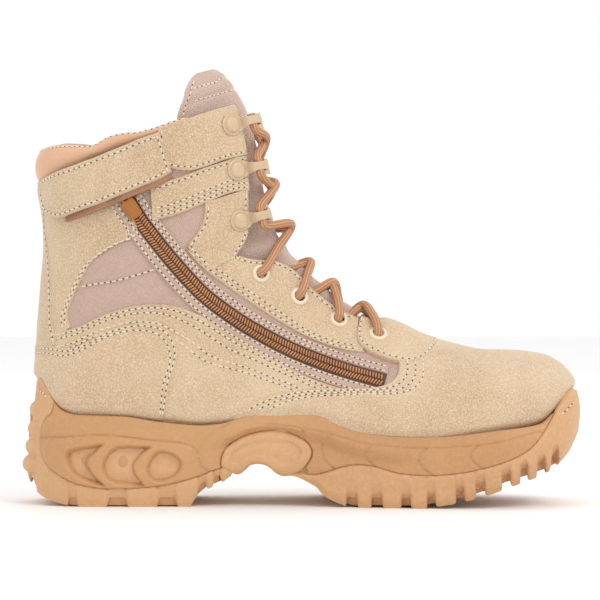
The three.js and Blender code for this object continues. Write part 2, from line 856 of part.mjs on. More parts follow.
// ---- Insole ----
function insoleSolid() {
  const inside = lastSolid(-WALL - GAP, liningRings);
  const bottoms = LAST.slice(8).map((s) => [s.bx, s.bz + WALL + GAP + INSOLE_THICK]);
  const region = [[-20, 44 + WALL], ...bottoms, [340, 66], [340, -20], [-20, -20]];
  return inside.intersect(acrossBoot(region));
}

// ---- Ankle strap, over the zip ----
const STRAP_THICK = 2.6;
// Along the strap: the place on a ring of 160 steps from the back, the rows of the last at its upper and
// lower edges, and how far it stands off the upper.
const STRAP = rows(
  ["place", "top", "bottom", "stand"],
  [
    [6, 1.14, 1.9, 0.8],
    [9, 1.12, 2.14, 2.4],
    [17, 1.1, 2.2, 6.4],
    [30, 1.1, 2.12, 7],
    [38, 1.06, 2, 7],
    [46, 1.04, 1.9, 1.4],
  ],
);

function strapSolid() {
  const count = 160;
  const places = steps(STRAP[0].place, STRAP[STRAP.length - 1].place, 16);
  const face = (lift) =>
    steps(0, 1, 3).map((down) =>
      places.map((place) => {
        const [top, bottom, stand] = ["top", "bottom", "stand"].map((c) => byKey(STRAP, "place", c, place));
        const at = Math.round(place);
        const u = top + (bottom - top) * down;
        const [ring, lower] = [ringAt(u, count), ringAt(u + 0.1, count)];
        const along = ring[at + 1].clone().sub(ring[at - 1]);
        const out = lower[at].clone().sub(ring[at]).cross(along).normalize();
        return ring[at].clone().addScaledVector(out, stand + lift);
      }),
    );
  return sheetOf(face(STRAP_THICK), face(0)).subtract(lastSolid(1.5 * GAP));
}

// ---- Zip ----
const ZIP_PATH = rows(
  ["x", "z"],
  [
    [50.5, 190],
    [55, 180],
    [62, 168.5],
    [69, 157.5],
    [76, 148],
    [85, 136.5],
    [95.4, 124.5],
    [106, 113.8],
    [121.3, 102.3],
    [137, 92.8],
    [152.5, 84.8],
    [168.2, 78.4],
    [183.8, 73.2],
    [203, 67.8],
  ],
);

// A frame on the zip: its point on the upper, the way up it, across it and out of the boot.
function zipFrame(row) {
  const at = (r) => onSide(byRow(ZIP_PATH, "x", r), byRow(ZIP_PATH, "z", r), MEDIAL);
  const { point, normal } = at(row);
  const up = at(row - 0.05).point.sub(at(row + 0.05).point);
  up.addScaledVector(normal, -up.dot(normal)).normalize();
  return { point, up, out: normal, across: normal.clone().cross(up) };
}

function zipChain() {
  const rings = steps(0.1, ZIP_PATH.length - 1, 18).map((row) => {
    const { point, across, out } = zipFrame(row);
    const corner = (side, lift) =>
      point.clone().addScaledVector(across, (side * ZIP_WIDTH) / 2).addScaledVector(out, lift);
    const base = GAP + 0.25;
    const middle = point.clone().addScaledVector(out, base + ZIP_THICK);
    return [corner(-1, base), corner(-1, ZIP_THICK), middle, corner(1, ZIP_THICK), corner(1, base)];
  });
  return loftOf(rings);
}

const SLIDER_ROW = 1.7;
const PIVOT_LIFT = 4;
const PIVOT_DOWN = 0.6;
const PULL_LENGTH = 16.4;
const PULL_WIDTH = 8;

// Places a solid made in zip terms: x across, y up the zip, z out of the boot.
function onSlider(solid) {
  const { point, up, across, out } = zipFrame(SLIDER_ROW);
  const m = new THREE.Matrix4().makeBasis(across, up, out).setPosition(point);
  return solid.transform(m.elements);
}

const boxOf = (low, high) => {
  const geometry = new THREE.BoxGeometry(...high.map((h, i) => h - low[i]));
  geometry.translate(...high.map((h, i) => (h + low[i]) / 2));
  return solidOf(geometry);
};

function zipSlider() {
  const outline = [[-3.6, -5], [3.6, -5], [5, 0.5], [3.4, 5.2], [-3.4, 5.2], [-5, 0.5]];
  const shape = new THREE.Shape(outline.map(([x, y]) => new THREE.Vector2(x, y)));
  const plate = new THREE.ExtrudeGeometry(shape, { depth: 0.9, bevelEnabled: false });
  plate.translate(0, 0, 2.3);
  const bridge = boxOf([-0.8, -4.2, 2.6], [0.8, 3.4, 5.6]).subtract(boxOf([-2, -3.3, 3.2], [2, 2.6, 5]));
  return onSlider(solidOf(plate).add(bridge));
}

function zipPull() {
  const axle = rodOf(vec(-2.6, -PIVOT_DOWN, PIVOT_LIFT), vec(2.6, -PIVOT_DOWN, PIVOT_LIFT), 0.62, 10);
  const arms = [-1, 1].map((side) =>
    boxOf(
      [side < 0 ? -2.6 : 1.2, -PIVOT_DOWN - 6.4, PIVOT_LIFT - 0.6],
      [side < 0 ? -1.2 : 2.6, -PIVOT_DOWN + 0.5, PIVOT_LIFT + 0.6],
    ),
  );
  const half = PULL_WIDTH / 2;
  const [top, bottom] = [-PIVOT_DOWN - 5.4, -PIVOT_DOWN - PULL_LENGTH];
  const outline = [
    [-half + 1, top],
    [-half, top - 1],
    [-half, bottom + 1.6],
    [-half + 0.5, bottom + 0.5],
    [-half + 1.6, bottom],
    [half - 1.6, bottom],
    [half - 0.5, bottom + 0.5],
    [half, bottom + 1.6],
    [half, top - 1],
    [half - 1, top],
  ];
  const shape = new THREE.Shape(outline.map(([x, y]) => new THREE.Vector2(x, y)));
  const plate = new THREE.ExtrudeGeometry(shape, { depth: 1.2, bevelEnabled: false });
  plate.translate(0, 0, PIVOT_LIFT - 0.6);
  return onSlider(axle.add(arms[0]).add(arms[1]).add(solidOf(plate)));
}

// ---- Hooks and eyelets ----
const HOOKS = rows(
  ["x", "z", "tipX", "tipZ"],
  [
    [117.5, 208, 133, 212],
    [121, 183.8, 136, 188],
    [122.8, 155.8, 138, 160.2],
  ],
);
const EYELETS = rows(
  ["x", "z"],
  [
    [135, 127],
    [156, 114.2],
    [178, 101.3],
    [199.5, 92],
  ],
);
const EYELET_BARREL = 3.6;
const LACE_HOLE = 2.7;
const eyeletPlaces = [MEDIAL, LATERAL].flatMap((side) => EYELETS.map(({ x, z }) => ({ x, z, side })));

function eyeletSolid({ x, z, side }) {
  const { point, normal } = onSide(x, z, side);
  const profile = [
    [LACE_HOLE, -WALL - 0.6],
    [EYELET_BARREL, -WALL - 0.6],
    [EYELET_BARREL, 1.5 * GAP],
    [5, 1.5 * GAP],
    [LACE_HOLE, 1.3],
    [LACE_HOLE, -WALL - 0.6],
  ].map(([r, h]) => new THREE.Vector2(r, h));
  const geometry = new THREE.LatheGeometry(profile, 8);
  geometry.applyQuaternion(new THREE.Quaternion().setFromUnitVectors(vec(0, 1, 0), normal));
  geometry.translate(...point.toArray());
  return solidOf(geometry);
}

function hookSolid({ x, z, tipX, tipZ }, side) {
  const { point, normal } = onSide(x, z, side);
  const tip = onSide(tipX, tipZ, side).point;
  const along = tip.sub(point);
  along.addScaledVector(normal, -along.dot(normal)).normalize();
  const across = normal.clone().cross(along);
  const disc = new THREE.LatheGeometry(
    [[0, 0.4], [5.7, 0.4], [5.7, 1.3], [4.4, 1.4], [3.4, 2.8], [0, 3.1]].map(
      ([r, h]) => new THREE.Vector2(r, h),
    ),
    10,
  );
  disc.rotateX(Math.PI / 2);
  // The arm rises from the disc, runs forward over the lace and folds down and back under it.
  const run = [
    [3.5, 0.35],
    [6.2, 0.35],
    [8, 5.7],
    [16.8, 5.7],
    [16.8, 0.4],
    [12.4, 0],
    [12.4, -0.9],
    [17.7, -0.5],
    [17.7, 6.6],
    [7.4, 6.6],
    [5.6, 1.4],
    [3.5, 1.3],
  ];
  const arm = new THREE.ExtrudeGeometry(new THREE.Shape(run.map(([a, n]) => new THREE.Vector2(a, n))), {
    depth: 5.6,
    bevelEnabled: false,
  });
  arm.translate(0, 0, -2.8);
  arm.rotateX(Math.PI / 2);
  const local = solidOf(disc).add(solidOf(arm));
  const frame = new THREE.Matrix4().makeBasis(along, across, normal).setPosition(point);
  return local.transform(frame.elements).subtract(facingSkin);
}

// ---- Lace: crossings in front of the tongue, joined where they meet over hooks and eyelets ----
const CROSSINGS = rows(
  ["x", "z"],
  [
    [136.3, 200.5],
    [141.6, 174.5],
    [150.1, 152.4],
    [162, 134],
    [175, 122.4],
    [191.8, 109.6],
  ],
);
function hookRoute({ x, z, tipX, tipZ }, side, drop) {
  const { point, normal } = onSide(x, z, side);
  const along = onSide(tipX, tipZ, side).point.sub(point);
  along.addScaledVector(normal, -along.dot(normal)).normalize();
  const across = vec(0, 0, -1);
  across.addScaledVector(normal, -across.dot(normal)).addScaledVector(along, -across.dot(along)).normalize();
  point.addScaledVector(along, 13.4).addScaledVector(normal, 2.9);
  return point.addScaledVector(across, drop);
}

// The point where the lace comes up out of an eyelet.
const overEyelet = (row, side) => onSide(EYELETS[row].x, EYELETS[row].z, side, LACE_RADIUS + 1.9).point;

function laceSolid() {
  const centre = (row) => {
    const { x, z } = CROSSINGS[row];
    return vec(x, -4.5 * ease(150, 195, x), z);
  };
  // Where a strand passes over the facing's edge towards the middle.
  const overEdge = (row, side, crossing) => {
    const [from, to] = [overEyelet(row, side), centre(crossing)];
    const chord = from.clone().lerp(to, 0.5);
    return chord.add(vec(0.55, 0, 0.83).multiplyScalar(2.2));
  };
  const strands = [];
  [MEDIAL, LATERAL].forEach((side) => {
    [0, 1].forEach((row) =>
      strands.push([
        hookRoute(HOOKS[row], side, 0),
        hookRoute(HOOKS[row], side, 5.4),
        centre(row),
        hookRoute(HOOKS[row + 1], -side, -5.4),
        hookRoute(HOOKS[row + 1], -side, 0),
      ]),
    );
    strands.push([
      hookRoute(HOOKS[2], side, 0),
      hookRoute(HOOKS[2], side, 5.9),
      centre(2),
      overEdge(0, -side, 2),
      overEyelet(0, -side),
    ]);
    [3, 4, 5].forEach((row) =>
      strands.push([
        overEyelet(row - 3, side),
        overEdge(row - 3, side, row),
        centre(row),
        overEdge(row - 2, -side, row),
        overEyelet(row - 2, -side),
      ]),
    );
  });
  const bar = centre(5).add(vec(14, 0, -7.4));
  strands.push([overEyelet(3, MEDIAL), bar, overEyelet(3, LATERAL)]);
  const clearings = eyeletPlaces.map(({ x, z, side }) => {
    const { point, normal } = onSide(x, z, side);
    return rodOf(point, point.clone().addScaledVector(normal, 1.3 + GAP), 5 + GAP, 8);
  });
  const joined = strands
    .map((points) => tubeOf(points, LACE_RADIUS, points.length + 2, 6))
    .reduce((whole, strand) => whole.add(strand));
  return cutAll(joined, [lastSolid(2 * GAP), ...clearings]);
}

// ---- Assembly ----
const finishes = {
  suede: { color: "#d9bf97", roughness: 0.95, metalness: 0 },
  nylon: { color: "#c9a996", roughness: 0.9, metalness: 0 },
  smoothLeather: { color: "#cf9a6c", roughness: 0.5, metalness: 0 },
  midsole: { color: "#d8a165", roughness: 0.6, metalness: 0 },
  outsole: { color: "#dca878", roughness: 0.7, metalness: 0 },
  lining: { color: "#b99a7c", roughness: 0.95, metalness: 0 },
  lace: { color: "#b9835a", roughness: 0.85, metalness: 0 },
  paintedMetal: { color: "#cdb28a", roughness: 0.45, metalness: 0.3 },
  zipBrown: { color: "#8f5a34", roughness: 0.6, metalness: 0 },
  amber: { color: "#b4731f", roughness: 0.4, metalness: 0.2 },
};
const boot = new THREE.Group();
boot.position.set(-MIDDLE.x, -MIDDLE.y, 0);

function piece(name, solid, finish) {
  const mesh = new THREE.Mesh(geometryOf(solid), new THREE.MeshStandardMaterial(finishes[finish]));
  mesh.name = name;
  boot.add(mesh);
}

const facingSkin = lastSolid(0.15);
piece("outsole_heel", heelOutsole(), "outsole");
piece("outsole_forefoot", forefootOutsole(), "outsole");
piece("midsole", midsoleSolid(), "midsole");
piece("arch_bridge", archBridge(), "outsole");
piece("insole", insoleSolid(), "lining");
piece("upper", upperSolid(), "suede");
piece("tongue", tongueSolid(), "nylon");
piece("collar_pad", collarPad(), "smoothLeather");
piece("ankle_strap", strapSolid(), "suede");
piece("zip_chain", zipChain(), "zipBrown");
piece("zip_slider", zipSlider(), "zipBrown");
piece("zip_pull", zipPull(), "amber");
piece("lace", laceSolid(), "lace");
[["medial", MEDIAL], ["lateral", LATERAL]].forEach(([word, side]) => {
  HOOKS.forEach((hook, i) => piece(`hook_${word}_${i + 1}`, hookSolid(hook, side), "paintedMetal"));
  EYELETS.forEach((eyelet, i) =>
    piece(`eyelet_${word}_${i + 1}`, eyeletSolid({ ...eyelet, side }), "paintedMetal"),
  );
});

export default boot;
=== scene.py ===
import math

import bmesh
import bpy
import numpy as np
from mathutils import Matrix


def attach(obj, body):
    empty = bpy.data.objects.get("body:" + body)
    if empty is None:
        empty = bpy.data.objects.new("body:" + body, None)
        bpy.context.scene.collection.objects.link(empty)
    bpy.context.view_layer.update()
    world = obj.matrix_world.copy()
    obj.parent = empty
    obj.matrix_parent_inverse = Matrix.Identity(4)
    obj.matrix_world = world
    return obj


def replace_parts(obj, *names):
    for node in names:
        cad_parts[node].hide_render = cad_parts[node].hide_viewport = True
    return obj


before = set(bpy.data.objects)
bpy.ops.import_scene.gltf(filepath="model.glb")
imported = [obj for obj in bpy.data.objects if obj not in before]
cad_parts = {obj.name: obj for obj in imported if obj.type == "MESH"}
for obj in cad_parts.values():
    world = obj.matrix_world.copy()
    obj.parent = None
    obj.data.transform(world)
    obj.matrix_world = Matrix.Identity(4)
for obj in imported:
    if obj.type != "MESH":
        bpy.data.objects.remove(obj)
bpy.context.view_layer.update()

middle = np.array([156.8, -3.1, 0.0])  # under the middle of the boot, in the shoemaker's frame
inner, outer = -1, 1  # the medial and the lateral side


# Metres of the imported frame: (point - middle) / 1000.
def toRow(points):
    return (np.asarray(points, float) - middle) * 0.001


# Curves and tables.
# Smoothstep from 0 at low to 1 at high.
def ease(low, high, value):
    share = np.clip((value - low) / (high - low), 0, 1)
    return share * share * (3 - 2 * share)


# A table's columns at fractional row numbers, on Catmull-Rom curves.
def alongTable(table, at):
    table = np.asarray(table, float)
    last = len(table) - 1
    wide = np.vstack([2 * table[0] - table[1], table, 2 * table[-1] - table[-2]])
    i = np.clip(np.floor(at).astype(int), 0, last - 1)
    f = (at - i)[..., None]
    a, b, c, d = (wide[i + k] for k in range(4))
    return b + 0.5 * f * (c - a + f * (2 * a - 5 * b + 4 * c - d + f * (3 * (b - c) + d - a)))


# The other columns where the first has given values: cubic pieces whose slope at a row is the harmonic
# mean of the slopes beside it, and level where those change sign.
def atKey(table, at):
    table = np.asarray(table, float)
    keys, values = table[:, 0], table[:, 1:]
    slopes = np.diff(values, axis=0) / np.diff(keys)[:, None]
    before, after = slopes[:-1], slopes[1:]
    turns = before * after <= 0
    inside = np.where(turns, 0, 2 * before * after / np.where(turns, 1, before + after))
    tangents = np.vstack([slopes[:1], inside, slopes[-1:]])
    at = np.clip(at, keys[0], keys[-1])
    i = np.clip(np.searchsorted(keys, at, side="right") - 1, 0, len(keys) - 2)
    width = (keys[i + 1] - keys[i])[..., None]
    f = (at - keys[i])[..., None] / width
    start = (2 * f**3 - 3 * f**2 + 1) * values[i] + (f**3 - 2 * f**2 + f) * width * tangents[i]
    return start + (3 * f**2 - 2 * f**3) * values[i + 1] + (f**3 - f**2) * width * tangents[i + 1]


# Lengths along a line: running sums of the distances between its points.
def lengthsOf(line):
    return np.concatenate([[0], np.cumsum(np.linalg.norm(np.diff(line, axis=0), axis=1))])


# Columns of values at other lengths, straight between the given ones.
def pickAt(where, lengths, values):
    return np.stack([np.interp(where, lengths, column) for column in values.T], axis=1)


# Height of a quarter circle at a share of its width: sqrt(1 - (1 - share)^2).
def quarterRound(share):
    return np.sqrt(1 - (1 - np.clip(share, 0, 1)) ** 2)


# The same line with its points at even lengths.
def evenly(line, count):
    lengths = lengthsOf(line)
    return pickAt(np.linspace(0, lengths[-1], count), lengths, line)


# A Catmull-Rom curve through points, at even lengths; a closed one comes back to its first point.
def smoothCurve(points, count, closed=False):
    points = np.asarray(points, float)
    if closed:
        wrapped = np.vstack([points[-2:], points, points[:3]])
        fine = alongTable(wrapped, np.linspace(2, len(points) + 2, 24 * len(points)))
    else:
        fine = alongTable(points, np.linspace(0, len(points) - 1, 24 * (len(points) - 1) + 1))
    return evenly(fine, count)


# Distance from each point (x, z) to a line of segments.
def distanceTo(line, x, z):
    shape = np.shape(x)
    p = np.stack([np.ravel(x), np.ravel(z)], axis=1)
    best = np.full(len(p), 1e9)
    for a, b in zip(line[:-1], line[1:]):
        along = b - a
        f = np.clip((p - a) @ along / max(along @ along, 1e-9), 0, 1)
        best = np.minimum(best, np.hypot(*(p - a - f[:, None] * along).T))
    return best.reshape(shape)


# Depth inside a closed outline: positive inside, negative outside, by counting crossings.
def depthInside(outline, x, z):
    loop = np.vstack([outline, outline[:1]])
    within = np.zeros(np.shape(x), bool)
    for (ax, az), (bx, bz) in zip(loop[:-1], loop[1:]):
        if az == bz:
            continue
        crosses = ((az > z) != (bz > z)) & (x < (bx - ax) * (z - az) / (bz - az) + ax)
        within ^= crosses
    return np.where(within, 1, -1) * distanceTo(loop, x, z)


# Vectors brought to length 1.
def unit(vectors):
    return vectors / np.maximum(np.linalg.norm(vectors, axis=-1, keepdims=True), 1e-12)


# Meshes.
pieces = {}


# Quads between the rows and columns of a grid.
def gridFaces(rows, columns, closeRows=False, closeColumns=False):
    r = np.arange(rows if closeRows else rows - 1)[:, None]
    c = np.arange(columns if closeColumns else columns - 1)[None, :]
    below, right = (r + 1) % rows, (c + 1) % columns
    quads = [r * columns + c, r * columns + right, below * columns + right, below * columns + c]
    return np.stack(np.broadcast_arrays(*quads), axis=-1).reshape(-1, 4)


# A small shape's faces many times over, each time moved on by the shape's own number of points.
def repeatFaces(each, times, size):
    return (each[None] + (np.arange(times) * size)[:, None, None]).reshape(-1, 4)


# A piece from points in mm: doubles merged, faces turned outwards, smooth below the sharp angle.
def makePiece(name, points, faces, material, slot, body="boot", uv=None, sharp=40, weld=0.004, turn=True):
    mesh = bpy.data.meshes.new(name)
    mesh.from_pydata(toRow(points), [], np.asarray(faces).tolist())
    if uv is not None:
        layer = mesh.uv_layers.new(name="flat")
        corners = np.zeros(len(mesh.loops), np.int32)
        mesh.loops.foreach_get("vertex_index", corners)
        layer.data.foreach_set("uv", np.asarray(uv, np.float32)[corners].ravel())
    work = bmesh.new()
    work.from_mesh(mesh)
    bmesh.ops.remove_doubles(work, verts=work.verts, dist=weld * 0.001)
    bmesh.ops.dissolve_degenerate(work, edges=work.edges, dist=1e-7)
    if turn:
        bmesh.ops.recalc_face_normals(work, faces=work.faces)
    work.to_mesh(mesh)
    work.free()
    mesh.polygons.foreach_set("use_smooth", np.ones(len(mesh.polygons), bool))
    mesh.set_sharp_from_angle(angle=math.radians(sharp))
    mesh.materials.append(material)
    piece = bpy.data.objects.new(name, mesh)
    bpy.context.scene.collection.objects.link(piece)
    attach(piece, body)
    pieces[name] = piece
    return piece


# The faces of a closed body between two grids of the same size.
def bodyFaces(rows, columns):
    front = gridFaces(rows, columns)
    count = rows * columns
    top = np.arange(columns)
    right = np.arange(rows) * columns + columns - 1
    bottom = (rows - 1) * columns + np.arange(columns)[::-1]
    left = np.arange(rows)[::-1] * columns
    rim = np.concatenate([top[:-1], right[:-1], bottom[:-1], left])
    rim = np.append(rim[:-1], rim[0]) if rim[-1] == rim[0] else np.append(rim, rim[0])
    wall = np.stack([rim[1:], rim[:-1], rim[:-1] + count, rim[1:] + count], axis=1)
    return np.vstack([front, front[:, ::-1] + count, wall])


# Widths in metres along and across a grid, for weaves and braids.
def flatUv(grid):
    across = np.linalg.norm(np.diff(grid, axis=1), axis=2).mean(axis=0)
    down = np.linalg.norm(np.diff(grid, axis=0), axis=2).mean(axis=1)
    u = np.concatenate([[0], np.cumsum(across)]) * 0.001
    v = np.concatenate([[0], np.cumsum(down)]) * 0.001
    return np.stack(np.meshgrid(u, v), axis=-1).reshape(-1, 2)


# A closed body between a front and a back grid, with the front's widths as its flat map.
def bodyOf(name, front, back, material, slot, **more):
    points = np.concatenate([front.reshape(-1, 3), back.reshape(-1, 3)])
    uv = np.tile(flatUv(front), (2, 1))
    return makePiece(name, points, bodyFaces(*front.shape[:2]), material, slot, uv=uv, **more)


# A tube of a closed section carried along a path: section is (count, 2) in the path's side and up ways.
def sweepGrid(path, up, section):
    path = np.asarray(path, float)
    tangent = unit(np.gradient(path, axis=0))
    up = unit(up - (up * tangent).sum(1, keepdims=True) * tangent)
    side = np.cross(tangent, up)
    section = np.asarray(section, float)
    if section.ndim == 2:
        section = np.broadcast_to(section, (len(path),) + section.shape)
    return path[:, None] + side[:, None] * section[..., :1] + up[:, None] * section[..., 1:]


# A tube's grid with each end ring drawn to its middle point.
def cappedGrid(grid):
    ends = [np.repeat(grid[k].mean(axis=0)[None, None], grid.shape[1], axis=1) for k in (0, -1)]
    return np.concatenate([ends[0], grid, ends[1]])


# A capped tube as a piece; its flat map has shares of a turn across and metres along.
def closedTube(name, grid, material, slot, **more):
    whole = cappedGrid(grid)
    rows, columns = whole.shape[:2]
    u, v = np.meshgrid(np.arange(columns) / columns, lengthsOf(whole.mean(axis=1)) * 0.001)
    faces = gridFaces(rows, columns, closeColumns=True)
    return makePiece(name, whole.reshape(-1, 3), faces, material, slot,
                     uv=np.stack([u.ravel(), v.ravel()], axis=1), **more)


# A round section: radius (cos a, sin a).
def ringOf(count, radius):
    angle = np.linspace(0, 2 * np.pi, count, endpoint=False)
    return radius * np.stack([np.cos(angle), np.sin(angle)], axis=1)


# The side's name as pieces use it.
def sideWord(side):
    return "Medial" if side < 0 else "Lateral"


print("boot: helpers ready")

# Material nodes. A group's inputs are given as (name, kind, value) and its outputs as (name, kind).
def newGroup(name, inputs, outputs):
    group = bpy.data.node_groups.new(name, "ShaderNodeTree")
    for label, kind, value in inputs:
        socket = group.interface.new_socket(name=label, in_out="INPUT", socket_type=kind)
        if value is not None:
            socket.default_value = value
    for label, kind in outputs:
        group.interface.new_socket(name=label, in_out="OUTPUT", socket_type=kind)
    return group, group.nodes.new("NodeGroupInput"), group.nodes.new("NodeGroupOutput")


# Each socket linked to another node's, or set to a value.
def setSockets(tree, node, sockets):
    for key, value in sockets.items():
        if isinstance(value, bpy.types.NodeSocket):
            tree.links.new(value, node.inputs[key])
        else:
            node.inputs[key].default_value = value
    return node


# A node with its settings, and its sockets set or linked.
def addNode(tree, kind, sockets=None, **settings):
    node = tree.nodes.new(kind)
    for key, value in settings.items():
        setattr(node, key, value)
    return setSockets(tree, node, sockets or {})


# A Math node's result.
def mathNode(tree, operation, a, b=0.0):
    return addNode(tree, "ShaderNodeMath", {0: a, 1: b}, operation=operation).outputs[0]


# Noise from 0 to 1 at a scale per metre.
def noiseNode(tree, vector, scale, detail=4.0, rough=0.55):
    sockets = {"Vector": vector, "Scale": scale, "Detail": detail, "Roughness": rough}
    return addNode(tree, "ShaderNodeTexNoise", sockets).outputs["Fac"]


# Three tones mixed by cloudy patches and by fine specks.
def makeTones():
    group, given, made = newGroup("tones", [
        ("Vector", "NodeSocketVector", None),
        ("Main", "NodeSocketColor", (0.6, 0.5, 0.4, 1)),
        ("Dark", "NodeSocketColor", (0.4, 0.3, 0.2, 1)),
        ("Light", "NodeSocketColor", (0.8, 0.7, 0.6, 1)),
        ("Patch Scale", "NodeSocketFloat", 25.0),
        ("Speck Scale", "NodeSocketFloat", 900.0),
        ("Patches", "NodeSocketFloat", 0.5),
        ("Specks", "NodeSocketFloat", 0.4),
    ], [("Color", "NodeSocketColor"), ("Cloud", "NodeSocketFloat")])
    vector = given.outputs["Vector"]
    cloud = noiseNode(group, vector, given.outputs["Patch Scale"], 3.0)
    speck = noiseNode(group, vector, given.outputs["Speck Scale"], 2.0, 0.7)
    spread = addNode(group, "ShaderNodeMapRange",
                     {"Value": cloud, "From Min": 0.35, "From Max": 0.68}).outputs[0]
    darkShare = mathNode(group, "MULTIPLY", spread, given.outputs["Patches"])
    first = addNode(group, "ShaderNodeMix", {0: darkShare, 6: given.outputs["Main"],
                                             7: given.outputs["Dark"]}, data_type="RGBA")
    grains = addNode(group, "ShaderNodeMapRange",
                     {"Value": speck, "From Min": 0.42, "From Max": 0.66}).outputs[0]
    lightShare = mathNode(group, "MULTIPLY", grains, given.outputs["Specks"])
    second = addNode(group, "ShaderNodeMix", {0: lightShare, 6: first.outputs[2],
                                              7: given.outputs["Light"]}, data_type="RGBA")
    group.links.new(second.outputs[2], made.inputs["Color"])
    group.links.new(spread, made.inputs["Cloud"])
    return group


# Plain weave: two sets of threads, each rounded across, that go over and under by turns.
def makeWeave():
    group, given, made = newGroup("weave", [
        ("Vector", "NodeSocketVector", None),
        ("Threads", "NodeSocketFloat", 900.0),
    ], [("Height", "NodeSocketFloat"), ("Gap", "NodeSocketFloat")])
    split = addNode(group, "ShaderNodeSeparateXYZ", {0: given.outputs["Vector"]})
    u = mathNode(group, "MULTIPLY", split.outputs[0], given.outputs["Threads"])
    v = mathNode(group, "MULTIPLY", split.outputs[1], given.outputs["Threads"])
    warp, weft = (
        mathNode(group, "ABSOLUTE", mathNode(group, "SINE", mathNode(group, "MULTIPLY", way, math.pi)))
        for way in (u, v))
    cells = mathNode(group, "ADD", mathNode(group, "FLOOR", u), mathNode(group, "FLOOR", v))
    odd = mathNode(group, "MODULO", mathNode(group, "ABSOLUTE", cells), 2.0)
    over = addNode(group, "ShaderNodeMix", {0: odd, 2: warp, 3: weft}, data_type="FLOAT").outputs[0]
    low = mathNode(group, "MULTIPLY", mathNode(group, "MINIMUM", warp, weft), 0.5)
    height = mathNode(group, "MAXIMUM", mathNode(group, "MULTIPLY", over, 0.9), low)
    gap = mathNode(group, "SUBTRACT", 1.0, height)
    group.links.new(height, made.inputs["Height"])
    group.links.new(gap, made.inputs["Gap"])
    return group


# Bumps of two sizes, for nap, grain or moulded rubber.
def makeGrain():
    group, given, made = newGroup("grain", [
        ("Vector", "NodeSocketVector", None),
        ("Scale", "NodeSocketFloat", 800.0),
        ("Coarse", "NodeSocketFloat", 0.5),
    ], [("Height", "NodeSocketFloat")])
    vector = given.outputs["Vector"]
    fine = noiseNode(group, vector, given.outputs["Scale"], 5.0, 0.7)
    broadScale = mathNode(group, "MULTIPLY", given.outputs["Scale"], 0.13)
    broad = noiseNode(group, vector, broadScale, 3.0)
    part = mathNode(group, "MULTIPLY", broad, given.outputs["Coarse"])
    group.links.new(mathNode(group, "ADD", fine, part), made.inputs["Height"])
    return group


groups = {"tones": makeTones(), "weave": makeWeave(), "grain": makeGrain()}


# A material with its shader's constants set, and its coordinates.
def startMaterial(name, roughness, **shaderSockets):
    material = bpy.data.materials.new(name)
    material.use_nodes = True
    tree = material.node_tree
    shader = tree.nodes["Principled BSDF"]
    shader.inputs["Roughness"].default_value = roughness
    for key, value in shaderSockets.items():
        shader.inputs[key].default_value = value
    coords = tree.nodes.new("ShaderNodeTexCoord")
    return material, tree, shader, coords


# One of the shared groups placed in a material.
def groupNode(tree, group, sockets):
    node = tree.nodes.new("ShaderNodeGroup")
    node.node_tree = groups[group]
    return setSockets(tree, node, sockets)


# Height through a bump into the shader's normal.
def bumpInto(tree, shader, height, strength, distance):
    bump = addNode(tree, "ShaderNodeBump", {"Height": height, "Strength": strength, "Distance": distance})
    tree.links.new(bump.outputs[0], shader.inputs["Normal"])


# Linear colour from 0 to 255 values, by the sRGB curve.
def color(red, green, blue):
    channels = np.array([red, green, blue]) / 255.0
    linear = np.where(channels <= 0.04045, channels / 12.92, ((channels + 0.055) / 1.055) ** 2.4)
    return (*linear.tolist(), 1.0)


# Tones and grain on a plain shader, which most of the boot's finishes share.
def grainyMaterial(name, look):
    sheen = {"Sheen Weight": look["sheen"], "Sheen Roughness": 0.6} if look.get("sheen") else {}
    material, tree, shader, coords = startMaterial(name, look["roughness"], **sheen)
    vector = coords.outputs["Object"]
    tones = groupNode(tree, "tones", {
        "Vector": vector, "Main": color(*look["main"]), "Dark": color(*look["dark"]),
        "Light": color(*look["light"]), "Patch Scale": look["patchScale"],
        "Speck Scale": look["speckScale"], "Patches": look["patches"], "Specks": look["specks"]})
    tree.links.new(tones.outputs["Color"], shader.inputs["Base Color"])
    rough = addNode(tree, "ShaderNodeMapRange", {
        "Value": tones.outputs["Cloud"], "To Min": look["roughness"] - 0.06,
        "To Max": look["roughness"] + 0.05})
    tree.links.new(rough.outputs[0], shader.inputs["Roughness"])
    grain = groupNode(tree, "grain", {"Vector": vector, "Scale": look["grainScale"],
                                      "Coarse": look["coarse"]})
    bumpInto(tree, shader, grain.outputs["Height"], look["bump"], look["bumpDepth"])
    return material


